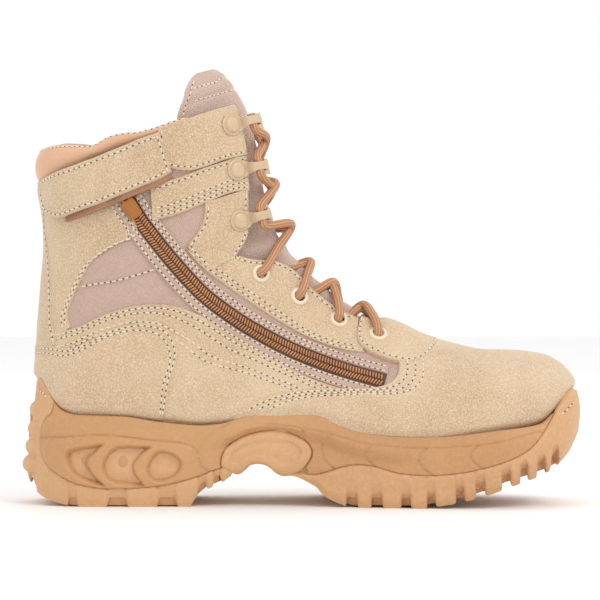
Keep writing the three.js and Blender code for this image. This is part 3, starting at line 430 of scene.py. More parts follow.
# Woven cloth on the piece's own flat widths or on its place, with painted shade in the gaps between the
# threads.
def wovenMaterial(name, look):
    material, tree, shader, coords = startMaterial(
        name, look["roughness"], **{"Sheen Weight": 0.25, "Sheen Roughness": 0.5})
    place = coords.outputs["Object"]
    if look["onUv"]:
        flat = coords.outputs["UV"]
    else:
        split = addNode(tree, "ShaderNodeSeparateXYZ", {0: place})
        flat = addNode(tree, "ShaderNodeCombineXYZ", {0: split.outputs[0], 1: split.outputs[2]}).outputs[0]
    turned = addNode(tree, "ShaderNodeMapping", {"Vector": flat, "Rotation": (0, 0, look["turn"])})
    wobble = addNode(tree, "ShaderNodeTexNoise", {"Vector": place, "Scale": 60.0, "Detail": 1.0})
    shift = addNode(tree, "ShaderNodeVectorMath", {0: wobble.outputs["Color"], 1: (0.0006, 0.0006, 0)},
                    operation="MULTIPLY")
    moved = addNode(tree, "ShaderNodeVectorMath", {0: turned.outputs[0], 1: shift.outputs[0]},
                    operation="ADD")
    weave = groupNode(tree, "weave", {"Vector": moved.outputs[0], "Threads": look["threads"]})
    tones = groupNode(tree, "tones", {
        "Vector": place, "Main": color(*look["main"]), "Dark": color(*look["dark"]),
        "Light": color(*look["light"]), "Patch Scale": 40.0, "Speck Scale": 700.0,
        "Patches": 0.5, "Specks": 0.35})
    # Painted shade: the gaps between the threads are mixed towards a darker tone.
    gap = mathNode(tree, "MULTIPLY", weave.outputs["Gap"], look["gap"])
    mixed = addNode(tree, "ShaderNodeMix", {0: gap, 6: tones.outputs["Color"],
                                            7: color(*look["gapShade"])}, data_type="RGBA")
    tree.links.new(mixed.outputs[2], shader.inputs["Base Color"])
    bumpInto(tree, shader, weave.outputs["Height"], look["bump"], 0.0004)
    return material


suedeLook = {"roughness": 0.93, "main": (205, 178, 144), "dark": (172, 140, 102), "light": (232, 210, 180),
             "patchScale": 20.0, "speckScale": 1350.0, "patches": 0.65, "specks": 0.75,
             "grainScale": 1100.0, "coarse": 0.5, "bump": 0.75, "bumpDepth": 0.0005, "sheen": 0.25}
nylonLook = {"roughness": 0.72, "main": (206, 176, 160), "dark": (190, 158, 142), "light": (224, 202, 186),
             "threads": 1050.0, "gap": 0.55, "gapShade": (150, 118, 102), "bump": 0.55, "turn": 0.35,
             "onUv": False}
rubberLook = {"roughness": 0.45, "main": (196, 148, 100), "dark": (174, 124, 78), "light": (212, 168, 122),
              "patchScale": 14.0, "speckScale": 500.0, "patches": 0.45, "specks": 0.2,
              "grainScale": 500.0, "coarse": 0.8, "bump": 0.12, "bumpDepth": 0.0003}
treadLook = dict(rubberLook, roughness=0.56, main=(209, 164, 118), dark=(188, 138, 96),
                 light=(231, 188, 146), bump=0.2)
collarLook = {"roughness": 0.4, "main": (219, 172, 138), "dark": (200, 148, 114), "light": (230, 190, 158),
              "patchScale": 30.0, "speckScale": 600.0, "patches": 0.5, "specks": 0.2,
              "grainScale": 900.0, "coarse": 0.6, "bump": 0.3, "bumpDepth": 0.0004}
liningLook = {"roughness": 0.95, "main": (186, 160, 134), "dark": (160, 132, 106), "light": (206, 184, 160),
              "patchScale": 40.0, "speckScale": 1500.0, "patches": 0.5, "specks": 0.5,
              "grainScale": 1600.0, "coarse": 0.4, "bump": 0.6, "bumpDepth": 0.0005, "sheen": 0.3}
threadLook = {"roughness": 0.8, "main": (232, 216, 192), "dark": (205, 184, 158), "light": (244, 234, 216),
              "patchScale": 120.0, "speckScale": 2500.0, "patches": 0.5, "specks": 0.4,
              "grainScale": 4000.0, "coarse": 0.3, "bump": 0.4, "bumpDepth": 0.0002}
# Dark brown for painted shade in needle holes and eyelet holes.
holeShadeLook = {"roughness": 0.9, "main": (96, 76, 60), "dark": (70, 54, 42), "light": (130, 106, 86),
            "patchScale": 200.0, "speckScale": 2000.0, "patches": 0.6, "specks": 0.3,
            "grainScale": 2000.0, "coarse": 0.4, "bump": 0.3, "bumpDepth": 0.0002}
paintLook = {"roughness": 0.3, "main": (203, 178, 145), "dark": (188, 160, 124), "light": (220, 198, 168),
             "patchScale": 60.0, "speckScale": 800.0, "patches": 0.4, "specks": 0.25,
             "grainScale": 700.0, "coarse": 0.9, "bump": 0.08, "bumpDepth": 0.0002}
zipLook = {"roughness": 0.38, "main": (196, 134, 88), "dark": (160, 102, 64), "light": (216, 160, 116),
           "patchScale": 80.0, "speckScale": 1500.0, "patches": 0.6, "specks": 0.35,
           "grainScale": 1800.0, "coarse": 0.4, "bump": 0.2, "bumpDepth": 0.0002}
tapeLook = {"roughness": 0.85, "main": (104, 72, 54), "dark": (74, 50, 38), "light": (134, 98, 76),
            "threads": 1400.0, "gap": 0.6, "gapShade": (48, 32, 24), "bump": 0.5, "turn": 0.0, "onUv": True}
amberLook = {"roughness": 0.32, "main": (166, 102, 34), "dark": (146, 84, 24), "light": (188, 126, 56),
             "patchScale": 90.0, "speckScale": 900.0, "patches": 0.6, "specks": 0.3,
             "grainScale": 700.0, "coarse": 0.9, "bump": 0.12, "bumpDepth": 0.0002}
suede = grainyMaterial("sandSuede", suedeLook)
nylon = wovenMaterial("sandNylon", nylonLook)
tongueNylon = wovenMaterial("tongueNylon", dict(
    nylonLook, main=(216, 190, 175), light=(230, 208, 194), onUv=True, turn=0.0, threads=1000.0))
midsoleRubber = grainyMaterial("midsoleRubber", rubberLook)
treadRubber = grainyMaterial("treadRubber", treadLook)
smoothLeather = grainyMaterial("collarLeather", collarLook)
brushedLining = grainyMaterial("brushedLining", liningLook)
creamThread = grainyMaterial("creamThread", threadLook)
needleHole = grainyMaterial("needleHole", holeShadeLook)
sandPaint = grainyMaterial("sandPaint", paintLook)
zipPlastic = grainyMaterial("zipCoil", zipLook)
zipTape = wovenMaterial("zipTape", tapeLook)
amberCoat = grainyMaterial("amberCoat", amberLook)


# Braided cord: slanted strands from the cord's own lengths, in two tones that run along it, with painted
# shade between the strands.
def laceMaterial():
    material, tree, shader, coords = startMaterial("braidedLace", 0.7)
    split = addNode(tree, "ShaderNodeSeparateXYZ", {0: coords.outputs["UV"]})
    turnRound = mathNode(tree, "MULTIPLY", split.outputs[0], 12.0)
    along = mathNode(tree, "MULTIPLY", split.outputs[1], 520.0)
    left, right = (
        mathNode(tree, "SINE", mathNode(tree, "MULTIPLY", mathNode(tree, way, turnRound, along), math.pi))
        for way in ("ADD", "SUBTRACT"))
    strands = mathNode(tree, "MAXIMUM", mathNode(tree, "ABSOLUTE", left), mathNode(tree, "ABSOLUTE", right))
    stripes = mathNode(tree, "SINE", mathNode(tree, "MULTIPLY", split.outputs[0], 2 * math.pi * 9))
    tone = addNode(tree, "ShaderNodeMapRange",
                   {"Value": stripes, "From Min": -0.5, "From Max": 0.7}).outputs[0]
    mixed = addNode(tree, "ShaderNodeMix", {0: tone, 6: color(180, 124, 88), 7: color(208, 160, 120)},
                    data_type="RGBA")
    # Painted shade: where the strands dip between each other the colour is mixed towards dark brown.
    gap = addNode(tree, "ShaderNodeMapRange", {"Value": strands, "From Min": 0.3, "From Max": 0.8,
                                               "To Min": 0.3, "To Max": 0.0}).outputs[0]
    shaded = addNode(tree, "ShaderNodeMix", {0: gap, 6: mixed.outputs[2], 7: color(110, 68, 44)},
                     data_type="RGBA")
    tree.links.new(shaded.outputs[2], shader.inputs["Base Color"])
    bumpInto(tree, shader, strands, 0.6, 0.0004)
    return material


braidedLace = laceMaterial()
print("boot: materials ready")

# The last.
# A fan of sections from above the collar, round the heel, to the toe. Each runs from a back or bottom
# point (bx, bz) to a front or top point (fx, fz); med and lat are its half widths, widest at the share
# `wide` of the way, low and top its squareness, base and ridge the y of its two ends.
lastTable = np.array([
    # bx, bz, fx, fz, med, lat, wide, low, top, base, ridge
    [16, 210, 111, 242.5, 33, 33, 0.5, 2.1, 2.2, 0, 0],
    [11.5, 180, 126, 223, 39, 39, 0.48, 2.1, 2.2, 0, 0],
    [14.5, 158, 134, 196, 38.5, 38.5, 0.46, 2.1, 2.2, 0, 0],
    [15, 140, 139, 168, 37.5, 37.5, 0.43, 2.0, 2.2, 0, 0],
    [13.5, 122, 145, 150, 37, 37.5, 0.4, 2.0, 2.15, 0, 0],
    [12, 103, 152, 139.5, 37, 37.5, 0.36, 2.1, 2.1, 0, -0.5],
    [11, 83, 161, 130, 36.5, 37.5, 0.32, 2.2, 2.05, 0, -1],
    [11, 61, 171.5, 120, 36, 37.5, 0.29, 2.3, 2, 0, -2],
    [21, 41, 184, 110.5, 35, 38, 0.27, 2.4, 2, 0, -3],
    [62, 37, 197, 103, 34.5, 39, 0.26, 2.6, 2, 0, -4],
    [107, 38, 212, 97.2, 37, 42, 0.25, 2.8, 2, 0, -4.5],
    [151, 34, 228, 90, 42.5, 45.5, 0.25, 3, 2.05, 0, -5],
    [190, 27, 243, 85.8, 47, 48, 0.26, 3, 2.1, 0, -5.5],
    [222, 25, 257, 82.9, 48, 46.5, 0.28, 3, 2.2, -1.5, -6],
    [249, 27.5, 271, 82.3, 45, 42, 0.3, 2.9, 2.3, -4, -7],
    [272, 32, 284, 81.4, 39, 36, 0.33, 2.8, 2.4, -6.5, -8],
    [289, 38, 294, 79, 31, 29, 0.37, 2.6, 2.4, -8.5, -9],
    [300, 44.5, 302, 73.5, 21.5, 20.5, 0.42, 2.3, 2.3, -9.5, -9.5],
    [306, 51, 307, 67, 12, 11.5, 0.48, 2.1, 2.1, -10, -10],
    [308.8, 57.5, 309, 60.5, 2.2, 2.2, 0.5, 2, 2, -10, -10],
])
collarRow, toeRow, wallThick = 1.0, 19.0, 2.6
rowStep, halfCount = 0.025, 200
rowsAt = np.arange(0, toeRow + rowStep / 2, rowStep)


# Points of sections at shares t of the way to the front: across = (1 - reach^power)^(1/power).
def sectionPoint(s, t, side):
    wide = s[..., 6]
    past = t > wide
    reach = np.where(past, (t - wide) / (1 - wide), (wide - t) / wide)
    power = np.where(past, s[..., 8], s[..., 7])
    across = np.maximum(0, 1 - np.minimum(1, reach) ** power) ** (1 / power)
    half = np.where(side < 0, -s[..., 4], s[..., 5])
    x = s[..., 0] + (s[..., 2] - s[..., 0]) * t
    y = s[..., 9] + (s[..., 10] - s[..., 9]) * t + half * across
    return np.stack([x, y, s[..., 1] + (s[..., 3] - s[..., 1]) * t], axis=-1)


# Half sections from back to front at even lengths: their points and their shares t.
def halfSections(side):
    s = alongTable(lastTable, rowsAt)[:, None, :]
    along = -np.cos(np.linspace(0, np.pi, 181))[None, :]
    wide = s[..., 6]
    power = np.where(along > 0, s[..., 8], s[..., 7])
    t = wide + np.where(along > 0, 1 - wide, wide) * np.sign(along) * np.abs(along) ** (2 / power)
    points = sectionPoint(s, t, np.full(t.shape, side))
    steps = np.linalg.norm(np.diff(points, axis=1), axis=2)
    length = np.concatenate([np.zeros((len(steps), 1)), np.cumsum(steps, axis=1)], axis=1)
    length /= length[:, -1:]
    at = np.linspace(0, 1, halfCount + 1)
    evenPoints = np.empty((len(rowsAt), halfCount + 1, 3))
    evenShares = np.empty((len(rowsAt), halfCount + 1))
    for row in range(len(rowsAt)):
        evenShares[row] = np.interp(at, length[row], t[row])
        for axis in range(3):
            evenPoints[row, :, axis] = np.interp(at, length[row], points[row, :, axis])
    return evenPoints, evenShares


# Soft troughs and ridges: place (x, z) in mm, how far it reaches along and across, its slope in
# degrees, and how deep (-) or proud (+) it is.
creases = [
    (118, 118, 30, 5, -38, -0.5), (104, 100, 26, 6, -30, 0.5), (60, 128, 9, 22, 10, 0.5),
    (222, 74, 9, 16, 10, -0.5), (236, 70, 8, 18, 12, 0.45), (250, 66, 8, 16, 14, -0.35),
    (38, 78, 16, 10, 0, 0.5), (150, 70, 22, 6, -15, -0.4), (88, 74, 5, 22, 8, -0.5),
    (70, 66, 18, 7, 5, 0.3), (30, 140, 5, 20, 0, -0.4), (112, 200, 14, 5, 20, 0.4),
    (98, 176, 16, 4, 20, -0.5), (118, 152, 5, 12, 10, 0.4), (268, 62, 14, 12, 0, 0.25),
    (196, 64, 16, 6, 0, 0.4), (140, 118, 18, 4, -32, 0.35), (205, 52, 20, 6, -4, -0.25),
]


# The sum of depth * exp(-(along / reach)^2 - (across / reach)^2), with faint waves over all.
def creaseHeight(x, z):
    height = np.zeros_like(x)
    for cx, cz, reachAlong, reachAcross, slope, depth in creases:
        turn = math.radians(slope)
        a = (x - cx) * math.cos(turn) + (z - cz) * math.sin(turn)
        b = -(x - cx) * math.sin(turn) + (z - cz) * math.cos(turn)
        height += depth * np.exp(-((a / reachAlong) ** 2) - (b / reachAcross) ** 2)
    waves = 0.12 * np.sin(x / 7.3 + z / 11.0) * np.sin(z / 8.1 - x / 17.0)
    return height + waves


# Outward normals of the wrapped surface, whose first and last columns are one line.
def wrappedNormals(points):
    ring = points[:, :-1]
    around = np.roll(ring, -1, axis=1) - np.roll(ring, 1, axis=1)
    down = np.gradient(ring, axis=0)
    normals = unit(np.cross(around, down))
    centre = ring.mean(axis=1, keepdims=True)
    normals *= np.sign(((ring - centre) * normals).sum(axis=(1, 2)))[:, None, None]
    return np.concatenate([normals, normals[:, :1]], axis=1)


medialHalf, medialShares = halfSections(inner)
lateralHalf, lateralShares = halfSections(outer)
lastPoints = np.concatenate([medialHalf[:, ::-1], lateralHalf[:, 1:]], axis=1)
lastNormals = wrappedNormals(lastPoints)
lastPoints = lastPoints + lastNormals * creaseHeight(lastPoints[..., 0], lastPoints[..., 2])[..., None]
lastNormals = wrappedNormals(lastPoints)


# Points and normals on the last: u is the row, w runs from -1 (front line, medial) past 0 (back or
# bottom line) to 1 (front line, lateral).
def onLast(u, w, lift=0.0):
    u, w = np.broadcast_arrays(np.asarray(u, float), np.asarray(w, float))
    r = np.clip(u / rowStep, 0, len(rowsAt) - 1.001)
    c = np.clip((w + 1) * halfCount, 0, 2 * halfCount - 0.001)
    ri, ci = r.astype(int), c.astype(int)
    rf, cf = (r - ri)[..., None], (c - ci)[..., None]

    def mixed(grid):
        top = grid[ri, ci] * (1 - cf) + grid[ri, ci + 1] * cf
        bottom = grid[ri + 1, ci] * (1 - cf) + grid[ri + 1, ci + 1] * cf
        return top * (1 - rf) + bottom * rf

    normal = unit(mixed(lastNormals))
    return mixed(lastPoints) + normal * np.asarray(lift, float)[..., None], normal


# Row u and place w of points given in the side view, as (..., 2) of x and z.
def placeOf(points, side):
    x, z = np.asarray(points, float)[..., 0], np.asarray(points, float)[..., 1]
    low, high = np.zeros_like(x), np.full_like(x, toeRow)
    for _ in range(30):
        u = (low + high) / 2
        s = alongTable(lastTable, u)
        past = (s[..., 2] - s[..., 0]) * (z - s[..., 1]) - (s[..., 3] - s[..., 1]) * (x - s[..., 0]) < 0
        low, high = np.where(past, u, low), np.where(past, high, u)
    s = alongTable(lastTable, low)
    dx, dz = s[..., 2] - s[..., 0], s[..., 3] - s[..., 1]
    t = np.clip(((x - s[..., 0]) * dx + (z - s[..., 1]) * dz) / (dx**2 + dz**2), 0, 1)
    shares = (medialShares if side < 0 else lateralShares)[np.round(low / rowStep).astype(int)]
    k = np.clip((shares < t[..., None]).sum(axis=-1) - 1, 0, halfCount - 1)
    before = np.take_along_axis(shares, k[..., None], -1)[..., 0]
    after = np.take_along_axis(shares, k[..., None] + 1, -1)[..., 0]
    along = (k + np.clip((t - before) / np.maximum(after - before, 1e-9), 0, 1)) / halfCount
    return low, side * along


# Points and normals on one side, from places of the side view.
def onSide(points, side, lift=0.0):
    return onLast(*placeOf(points, side), lift)


# One point and its normal on one side.
def pointOnSide(x, z, side, lift):
    points, normals = onSide(np.array([[x, z]]), side, lift)
    return points[0], normals[0]


# Half width of the throat between the facings, by row, and the place w where it meets the last.
throatTable = [[0, 20], [1, 20.5], [2, 21], [3, 22.5], [4, 25], [4.5, 28], [4.9, 25], [5.3, 18], [6, 14],
               [7, 12.5], [8, 11.5], [9, 10], [9.65, 8.5]]
throatEnd = 9.65


# The first place w, from the side to the front, that lies within the throat's half width.
def throatPlace(u, side):
    u = np.asarray(u, float)
    rows = np.clip(np.round(u / rowStep).astype(int), 0, len(rowsAt) - 1)
    half = atKey(throatTable, u)[..., 0]
    w = np.linspace(0.5, 1, 400)
    points, _ = onLast(np.repeat(rowsAt[rows][..., None], 400, -1), side * w)
    ridge = alongTable(lastTable, rowsAt[rows])[..., 10]
    outside = np.abs(points[..., 1] - ridge[..., None]) > half[..., None]
    place = w[np.clip(outside.sum(axis=-1), 0, 399)]
    return np.where(u >= throatEnd, 1.0, place + (1 - place) * ease(throatEnd - 0.35, throatEnd, u))


print("boot: last ready")

# The sole's upper edge in the side view; the panels tuck in behind it.
soleTop = [[6, 65], [13, 69.5], [17, 65], [22, 56], [27, 51.5], [34, 49.8], [60, 49], [80, 46], [104, 44],
           [118, 45], [132, 48.6], [150, 50], [166, 48.8], [180, 43.5], [195, 39.6], [210, 38], [234, 38.5],
           [262, 41.5], [286, 44.6], [294, 50.5], [302, 59], [307, 63], [311, 62]]


# How far a point on the last is above the sole's upper edge.
def aboveSole(points):
    return points[..., 2] - atKey(soleTop, points[..., 0])[..., 0]


# How far the upper is drawn in behind the sole: all of it below the edge, nothing from 4.5 mm above.
def tuckedIn(points, depth):
    return depth * (1 - ease(-0.5, 4.5, aboveSole(points)))


shellLook = {"openRows": 84, "closedRows": 64, "columns": 161, "tuck": 3.0}


# Upper shell: nylon outside, one closed wall with the throat and the collar open.
# Columns run from the medial throat edge round the back to the lateral one; past the throat's end the two
# edges meet on the ridge. Rows run from the collar to the toe.
def makeShell():
    rows = np.unique(np.concatenate([np.linspace(collarRow, throatEnd, shellLook["openRows"]),
                                     np.linspace(throatEnd, toeRow, shellLook["closedRows"])]))
    share = np.linspace(-1, 1, shellLook["columns"])
    edge = {side: throatPlace(rows, side) for side in (inner, outer)}
    w = np.where(share < 0, edge[inner][:, None], edge[outer][:, None]) * share
    u = np.broadcast_to(rows[:, None], w.shape)
    tuck = tuckedIn(onLast(u, w)[0], shellLook["tuck"]) * ease(throatEnd - 4, throatEnd - 2, u)
    front, _ = onLast(u, w, -tuck)
    back, _ = onLast(u, w, -tuck - wallThick * ease(toeRow, toeRow - 1.5, u))
    count, columns = w.shape
    size = count * columns
    quads = gridFaces(count, columns)
    grid = np.arange(size).reshape(count, columns)
    openRows = int((rows < throatEnd).sum())
    rims = [grid[0], grid[: openRows + 1, 0], grid[: openRows + 1, -1], grid[-1]]
    walls = [np.stack([rim[:-1], rim[1:], rim[1:] + size, rim[:-1] + size], axis=1) for rim in rims]
    points = np.concatenate([front.reshape(-1, 3), back.reshape(-1, 3)])
    faces = np.vstack([quads, quads[:, ::-1] + size] + walls)
    piece = makePiece("upperShell", points, faces, nylon, "nylon", uv=np.tile(flatUv(front), (2, 1)),
                      weld=0.02)
    piece.data.materials.append(brushedLining)
    inside = np.zeros(len(piece.data.polygons), np.int32)
    centres = np.zeros(len(piece.data.polygons) * 3)
    normals = np.zeros(len(piece.data.polygons) * 3)
    piece.data.polygons.foreach_get("center", centres)
    piece.data.polygons.foreach_get("normal", normals)
    centres, normals = centres.reshape(-1, 3) * 1000 + middle, normals.reshape(-1, 3)
    axis = np.stack([np.clip(centres[:, 0], 60, 280), 0 * centres[:, 0],
                     np.clip(centres[:, 2], 55, 260)], axis=1)
    axis[:, 2] = np.where(centres[:, 0] > 120, 55, axis[:, 2])
    inside[((centres - axis) * normals).sum(axis=1) < 0] = 1
    piece.data.polygons.foreach_set("material_index", inside)
    return piece


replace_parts(makeShell(), "upper")

# Stitches: short raised threads with a needle hole at each end, darkened as painted shade.
stitchLook = {"pitch": 3.5, "length": 2.4, "radius": 0.46, "rise": 0.3}
stitchLists = {}
holeLists = {}


# Keeps a row of stitches along a line of points with their normals, for one joined piece.
def addStitches(batch, line, normals, pitch=None):
    pitch = pitch or stitchLook["pitch"]
    lengths = lengthsOf(line)
    count = max(1, int(lengths[-1] // pitch))
    at = (np.arange(count) + 0.5) * lengths[-1] / count

    def pick(values, where):
        return pickAt(where, lengths, values)

    half = stitchLook["length"] / 2 * pitch / stitchLook["pitch"]
    centre, up = pick(line, at), unit(pick(normals, at))
    along = unit(pick(line, np.minimum(at + half, lengths[-1])) - pick(line, np.maximum(at - half, 0)))
    stitchLists.setdefault(batch, []).append(np.stack([centre, along, up, np.full_like(up, half)], axis=1))
    gap = at[:-1] + lengths[-1] / count / 2
    if len(gap):
        way = unit(np.gradient(pick(line, gap), axis=0)) if len(gap) > 1 else along[:1]
        holes = [pick(line, gap), way, unit(pick(normals, gap)), np.full((len(gap), 3), half)]
        holeLists.setdefault(batch, []).append(np.stack(holes, axis=1))


# All threads of a batch at once: rings of six points round each thread's arched line.
def makeThreads(batch, material):
    data = np.concatenate(stitchLists[batch])
    centre, along, up, half = (data[:, k][:, None, None] for k in range(4))
    side = np.cross(along, up)
    s = np.array([-1.0, -0.75, 0.75, 1.0])[None, :, None, None]
    wide = stitchLook["radius"] * np.array([0.35, 1, 1, 0.35])[None, :, None, None]
    angle = np.linspace(0, 2 * np.pi, 6, endpoint=False)[None, None, :, None]
    rise = stitchLook["rise"] - 0.62 * s**4
    points = (centre + along * s * half + side * wide * np.cos(angle)
              + up * (rise + 0.9 * wide * np.sin(angle)))
    ring = gridFaces(4, 6, closeColumns=True)
    caps = np.array([[0, 1, 2, 3], [0, 3, 4, 5], [21, 20, 19, 18], [23, 22, 21, 18]])
    each = np.vstack([ring, caps])
    faces = repeatFaces(each, len(data), 24)
    return makePiece("stitches" + batch, points.reshape(-1, 3), faces, material, "suede", weld=0.0001,
                     sharp=80)


# Needle holes: a small sunk lozenge between two threads, dark as painted shade for the dent.
def makeHoles(batch):
    data = np.concatenate(holeLists[batch])
    centre, along, up, _ = (data[:, k][:, None] for k in range(4))
    side = np.cross(along, up)
    angle = np.linspace(0, 2 * np.pi, 6, endpoint=False)[None, :, None]
    rim = centre + along * 0.6 * np.cos(angle) + side * 0.46 * np.sin(angle) - up * 0.35
    top = centre + along * 0.52 * np.cos(angle) + side * 0.38 * np.sin(angle) + up * 0.09
    points = np.concatenate([rim, top], axis=1)
    caps = [[6, 7, 8, 9], [6, 9, 10, 11], [3, 2, 1, 0], [5, 4, 3, 0]]
    each = np.vstack([gridFaces(2, 6, closeColumns=True), caps])
    faces = repeatFaces(each, len(data), 12)
    return makePiece("holes" + batch, points.reshape(-1, 3), faces, needleHole, "suede", weld=0.0001,
                     sharp=30)


# Panels: sheets between two edge lines, rounded over at their cut edges.
edgePoints = 260  # along each edge line of a panel
edgeSteps = np.array([0, 0.1, 0.3, 0.6, 1.0, 1.5, 1.9, 2.3, 2.8, 3.8, 4.4, 4.8, 5.3, 6.5])


# Shares from 0 to 1 with even steps in the middle and fine ones at the ends that are rounded.
def fineShares(length, start, end, step):
    def side(rounded):
        reach = min(edgeSteps[-1], 0.42 * length)
        return edgeSteps * reach / edgeSteps[-1] if rounded else np.array([0.0])

    first, last = side(start), side(end)
    count = max(2, int((length - first[-1] - last[-1]) / step) + 2)
    inside = np.linspace(first[-1], length - last[-1], count)
    return np.concatenate([first[:-1], inside, (length - last[::-1])[1:]]) / length


# A panel on one side of the boot. first and second are its two edge lines, each as points of the side view
# or as (u, w) places. lift(d) = base + thick * sqrt(1 - (1 - d / r)^2) within r of a rounded edge, with a
# shallow groove under each stitch row.
def makePanel(name, side, first, second, look, material=None, slot="suede"):
    thick, base = look.get("thick", 1.2), look.get("base", 0.0)
    rounded = look.get("rounded", "abse")  # a: first edge, b: second edge, s: start, e: end

    def edgeOf(line):
        if isinstance(line, tuple):
            return line
        return placeOf(smoothCurve(line, edgePoints), side)

    (u0, w0), (u1, w1) = edgeOf(first), edgeOf(second)
    spine = np.linspace(0, 1, len(u0))
    middleLine, _ = onLast((u0 + u1) / 2, (w0 + w1) / 2)
    length = np.linalg.norm(np.diff(middleLine, axis=0), axis=1).sum()
    along = fineShares(length, "s" in rounded, "e" in rounded, 2.2)
    pu0, pw0, pu1, pw1 = (np.interp(along, spine, values) for values in (u0, w0, u1, w1))
    tops, _ = onLast(pu0, pw0)
    ends, _ = onLast(pu1, pw1)
    heights = np.maximum(np.linalg.norm(tops - ends, axis=1), 0.5)
    mean = float(np.median(heights))
    fixed = fineShares(mean, "a" in rounded, "b" in rounded, 2.2)
    reach = np.minimum(fixed, 1 - fixed)[:, None] * mean
    scaled = np.where(fixed[:, None] < 0.5, reach / heights, 1 - reach / heights)
    near = ease(6.5, 5.0, reach)
    share = np.clip(np.where(heights * 0.42 > edgeSteps[-1], near * scaled + (1 - near) * fixed[:, None],
                             fixed[:, None]), 0, 1)
    share = np.sort(share, axis=0)
    u = pu0 * (1 - share) + pu1 * share
    w = pw0 * (1 - share) + pw1 * share
    depths = {"a": share * heights, "b": (1 - share) * heights,
              "s": np.broadcast_to(along * length, u.shape),
              "e": np.broadcast_to((1 - along) * length, u.shape)}
    far = np.full(u.shape, 99.0)
    nearest = np.minimum.reduce([depths[k] for k in rounded] + [far])
    nearest = np.maximum(nearest, 0)
    radius = look.get("radius", 0.65 * thick)
    roll = quarterRound(nearest / radius)
    lift = base - 0.25 + (thick + 0.25) * roll
    rows = look.get("stitches", {})
    for edge, offsets in rows.items():
        for offset in offsets:
            lift = lift - 0.3 * np.exp(-(((depths[edge] - offset) / 0.55) ** 2)) * (nearest > radius * 0.6)
    lift = lift + look.get("puff", 0.0) * np.clip(nearest / 8, 0, 1)
    stand = atKey(look["stand"], along)[:, 0] if "stand" in look else 0 * along
    lift = lift - tuckedIn(onLast(u, w)[0], 2.7)
    front, normals = onLast(u, w, lift + stand)
    back, _ = onLast(u, w, base - look["free"] + stand if "free" in look else np.minimum(base - 0.6, -0.6))
    batch = look.get("batch", sideWord(side))
    top = base + thick

    def stitchAlong(lineU, lineW, at, trim):
        points, up = onLast(lineU, lineW, top - 0.12 + np.interp(at, along, stand))
        clear = aboveSole(points) > 3.5
        clear[:trim] = False
        clear[len(points) - trim:] = False
        line, up = points[clear], up[clear]
        if len(line) > 3:
            addStitches(batch, line, up, look.get("pitch"))

    fine = np.linspace(0, 1, 400)
    fu0, fw0, fu1, fw1 = (np.interp(fine, spine, values) for values in (u0, w0, u1, w1))
    fh = np.interp(fine, along, heights)
    for edge, offsets in rows.items():
        for offset in offsets:
            if edge in "ab":
                s = np.clip(offset / fh, 0, 0.5)
                s = s if edge == "a" else 1 - s
                trim = max(1, int(400 * look.get("trim", 2.0) / length))
                stitchAlong(fu0 * (1 - s) + fu1 * s, fw0 * (1 - s) + fw1 * s, fine, trim)
            else:
                at = offset / length if edge == "s" else 1 - offset / length
                a0, b0, a1, b1 = (np.interp(at, spine, values) for values in (u0, w0, u1, w1))
                stitchAlong(a0 * (1 - fine) + a1 * fine, b0 * (1 - fine) + b1 * fine, at + 0 * fine, 16)
    return bodyOf(name, front, back, material or suede, slot)


# Points of a line at one place w over rows u, as a panel's edge.
def placeLine(place, start, end, side):
    return np.linspace(start, end, edgePoints), np.full(edgePoints, side * float(place))


# The panels by name: edges as [x, z] in mm from the back to the front, or top to bottom.
windowRim = [[68.5, 148], [61, 145], [51.5, 140], [44.5, 135], [40, 129], [35.5, 120], [32, 113], [29.5, 105],
             [31.5, 98]]
quarterTop = [[6, 93], [16, 95], [24, 95.5], [32, 97], [39, 99.5], [46, 103], [55, 106.5], [66, 109.5],
              [77.5, 110.5], [88, 109.5], [97.5, 106.5], [106, 102.5], [121, 93.5], [137, 83.5], [153, 74.5],
              [165, 69], [177, 65], [190, 62]]
quarterLow = [[6, 58], [18, 49], [34, 46], [60, 45], [90, 42], [110, 41], [140, 44], [165, 42], [190, 38]]
counterTop = [[6, 87.5], [14, 88], [23, 87.5], [31, 86.5], [38.5, 88.5], [45.5, 92], [54.5, 97], [64, 99.8],
              [72, 100.6], [80, 99.5], [85, 97], [88.5, 92.5], [90.5, 86.5], [90, 81], [87.5, 73.5],
              [85.5, 65.5], [84, 57.5], [82, 47]]
counterLow = [[6, 58], [18, 49], [34, 46], [60, 45], [70, 44.5], [81, 44]]
backstayEdge = [[16, 176], [16.5, 163], [17, 152], [19.5, 135.5], [21, 119], [21.3, 105], [22.5, 96],
                [25, 88]]
eyestayLow = [[94.5, 141], [98.5, 135.5], [106, 128], [115, 121.5], [124, 115], [137, 106], [149, 98.5],
              [161, 92], [173, 87], [183, 84.5], [192, 83.5]]
eyestayTop = [[112, 134], [121, 136], [129, 138], [135.5, 140.2], [140.5, 140], [145.5, 137.5],
              [150.5, 133.5], [155.5, 130.5], [161.5, 126], [167.5, 120.5], [172.5, 115.5], [177, 111],
              [184, 107.5], [192, 104]]
frontBack = [[104.5, 166], [104.5, 161], [103.5, 155], [100.5, 149], [97, 144.5], [95.5, 141.5], [99, 136.5],
             [107, 129]]
frontEdge = [[128, 174], [130.3, 169.5], [130.5, 162.5], [129, 152], [126.5, 145.5], [123.5, 140],
             [120.5, 135.5]]
bandTop = [[75.5, 174], [85.5, 178], [97, 182], [104, 185], [114.5, 188.5], [121.5, 191.3], [129.3, 192.3]]
bandLow = [[76.5, 156], [84, 157.5], [93, 160.5], [104.5, 165.5], [115, 170], [122, 172.2], [130.3, 172.8]]
cuffTop = [[79.5, 205.4], [91, 209.7], [98.5, 212.5], [106, 215.3], [112.5, 217.5], [119, 219.5], [126, 220]]
cuffLow = [[80, 189.5], [86, 184.6], [93, 183.3], [99, 183.6], [107, 186.2], [116, 189.6], [127.6, 192.4]]
